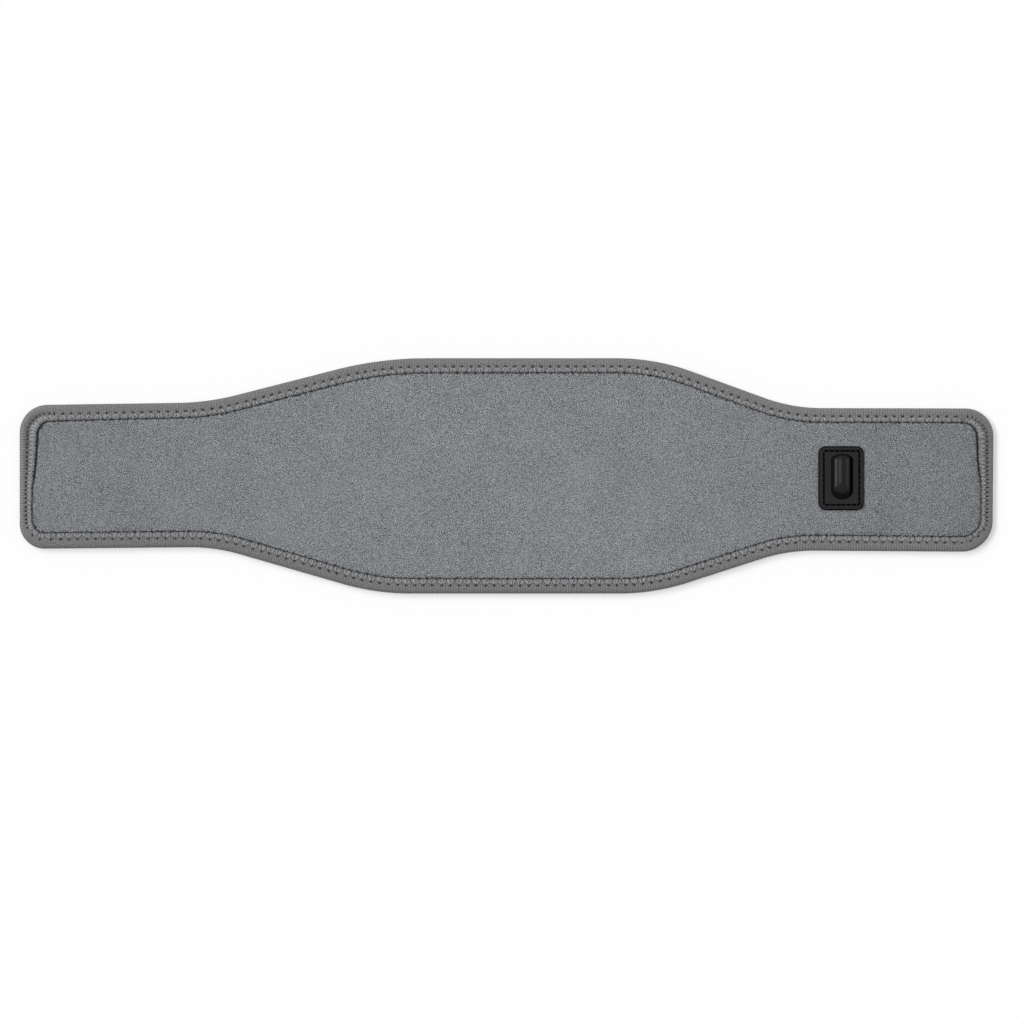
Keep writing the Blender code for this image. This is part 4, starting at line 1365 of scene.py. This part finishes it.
class BRACE_OT_stage(bpy.types.Operator):
    """Set the pale floor, the soft studio light and the camera over the belt"""

    bl_idname = "brace.stage"
    bl_label = "Stage"
    look_at = (5.35 * MM, -36.1 * MM)
    view_width = 1.024
    view_end = 20
    sensor = 36
    # The floor's rings: how far outside the belt's edge they lie, and how much of the floor is left there
    floor_rings = ((-0.02, 1.0), (0.0, 1.0), (0.03, 0.75), (0.07, 0.2), (0.11, 0.0))
    floor_drop = 0.05 * MM
    floor_stride = 6
    hang_reach = 0.6
    card_corners = ((-3, -1.6, 0.05), (3, -1.6, 0.05), (3, -2.2, 1.9), (-3, -2.2, 1.9))

    def execute(self, context):
        scene, stage = context.scene, context.scene.brace_stage
        self.add_floor(stage)
        self.add_card()
        self.add_world(scene, stage)
        # Name, strength, width in degrees, whether it shows as a gleam, and where it comes from
        for name, energy, angle, gleams, towards in (
                ("key", stage.key, 30, False, (-0.85, 0.7, 1.0)),
                ("fill", stage.fill, 40, False, (1.0, 0.05, 0.35)),
                ("left_strip", 1.4 * stage.strips, 15, True, (-0.8, 0.05, 1.0)),
                ("middle_strip", 0.6 * stage.strips, 13, True, (-0.14, 0.05, 1.0)),
                ("right_strip", stage.strips / 4, 8, True, (0.8, 0.05, 1.0)),
                ("far_strip", stage.strips / 3, 24, True, (-0.1, 1.1, 1.0)),
                ("below", stage.below, 40, True, (0.2, -0.4, -1.0))):
            lamp = bpy.data.lights.new(name, "SUN")
            lamp.energy = energy
            lamp.angle = math.radians(angle)
            lamp.use_shadow = name != "fill"
            light = bpy.data.objects.new(name, lamp)
            light.rotation_euler = Vector(towards).to_track_quat("Z", "Y").to_euler()
            light.visible_glossy = gleams
            scene.collection.objects.link(light)
        camera = bpy.data.cameras.new("camera")
        camera.lens = stage.lens
        camera.sensor_width = self.sensor
        camera.clip_end = self.view_end
        eye = bpy.data.objects.new("camera", camera)
        eye.location = (*self.look_at, MIDDLE + self.view_width * stage.lens / self.sensor)
        scene.collection.objects.link(eye)
        scene.camera = eye
        scene.view_settings.view_transform = "Standard"
        return {"FINISHED"}

    def add_floor(self, stage):
        """A pale floor that fades out round the belt and clears where the belt hangs below it."""
        points, normals = (table[:-1:self.floor_stride] for table in (EDGE.points, EDGE.normals))
        drop = np.full((len(points), 1), -self.floor_drop)
        rings = [np.concatenate([points - normals * out, drop], axis=1) for out, _ in self.floor_rings]
        flat, faces = loft(rings)
        # The cap over the innermost ring stays and the one over the outermost goes
        faces = [face for face in faces if len(face) == 4] + [faces[-2]]
        material = bpy.data.materials.new("matt_white_floor")
        material.use_nodes = True
        tree = material.node_tree
        tree.nodes.remove(tree.nodes["Principled BSDF"])
        fade = add_node(tree, "ShaderNodeAttribute", {}, "Fac", attribute_name="cover")
        below = add_node(tree, "ShaderNodeAmbientOcclusion", {"Distance": self.hang_reach}, "AO",
                         inside=True, samples=16)
        empty = add_node(tree, "ShaderNodeMath", {0: below, 1: 0.99}, operation="GREATER_THAN")
        side = add_node(tree, "ShaderNodeNewGeometry", {}, "Backfacing")
        front = add_node(tree, "ShaderNodeMath", {0: empty, 1: side}, operation="SUBTRACT", use_clamp=True)
        shown = add_node(tree, "ShaderNodeMath", {0: fade, 1: front}, operation="MULTIPLY")
        share = add_node(tree, "ShaderNodeMath", {0: shown, 1: stage.floor_cover}, operation="MULTIPLY")
        clear = add_node(tree, "ShaderNodeBsdfTransparent", {})
        matt = add_node(tree, "ShaderNodeBsdfDiffuse", {"Color": linear("#fdfdfd")})
        surface = add_node(tree, "ShaderNodeMixShader", {0: share, 1: clear, 2: matt})
        feed(tree.nodes["Material Output"], {"Surface": surface})
        cover = np.repeat([left for _, left in self.floor_rings], len(points))
        floor = add_piece("floor", (flat, faces), material, cover=cover)
        if floor.data.polygons[0].normal.z < 0:
            floor.data.flip_normals()
        floor.visible_shadow = False

    def add_card(self):
        """A dark card in front, seen only by the rubber's gleam, as photographers set one to shape it."""
        material, _, _ = new_material("black_card", {
            "Base Color": linear("#050505"), "Specular IOR Level": 0.0})
        card = add_piece("card", (np.array(self.card_corners), [[0, 1, 2, 3]]), material)
        card.visible_camera = card.visible_diffuse = card.visible_shadow = card.visible_transmission = False

    def add_world(self, scene, stage):
        """White where the camera or a reflection sees past the belt, and plain light from all round."""
        world = bpy.data.worlds.new("studio")
        world.use_nodes = True
        tree = world.node_tree
        rays = add_node(tree, "ShaderNodeLightPath", {}).node.outputs
        seen = add_node(tree, "ShaderNodeMath", {
            0: rays["Is Camera Ray"], 1: rays["Is Glossy Ray"]}, operation="MAXIMUM")
        shown = add_node(tree, "ShaderNodeMath", {
            0: seen, 1: rays["Is Transmission Ray"]}, operation="MAXIMUM")
        level = add_node(tree, "ShaderNodeMapRange", {"Value": shown, "To Min": stage.ambient, "To Max": 1.0})
        feed(tree.nodes["Background"], {"Color": (1, 1, 1, 1), "Strength": level})
        scene.world = world


GROUPS = {"brace_cloth": BraceCloth, "brace_seam": BraceSeam, "brace_control": BraceControl,
          "brace_stage": BraceStage}
STEPS = (BRACE_OT_core, BRACE_OT_face, BRACE_OT_lining, BRACE_OT_binding, BRACE_OT_seam, BRACE_OT_hook,
         BRACE_OT_heater, BRACE_OT_control, BRACE_OT_stage)


class BRACE_PT_panel(bpy.types.Panel):
    """Lists the pieces of the brace with their sizes and colours"""

    bl_idname = "BRACE_PT_panel"
    bl_label = "Back brace"
    bl_space_type = "VIEW_3D"
    bl_region_type = "UI"
    bl_category = "Back brace"

    def draw(self, context):
        for step in STEPS:
            self.layout.operator(step.bl_idname)
        for name, group in GROUPS.items():
            box = self.layout.box()
            for key in group.__annotations__:
                box.prop(getattr(context.scene, name), key)


def register():
    for cls in (*GROUPS.values(), *STEPS, BRACE_PT_panel):
        bpy.utils.register_class(cls)
    for name, group in GROUPS.items():
        setattr(bpy.types.Scene, name, PointerProperty(type=group))


def unregister():
    for name in GROUPS:
        delattr(bpy.types.Scene, name)
    for cls in (BRACE_PT_panel, *reversed(STEPS), *reversed(GROUPS.values())):
        bpy.utils.unregister_class(cls)


def main():
    register()
    for step in STEPS:
        space, name = step.bl_idname.split(".")
        getattr(getattr(bpy.ops, space), name)()


if __name__ == "__main__":
    main()
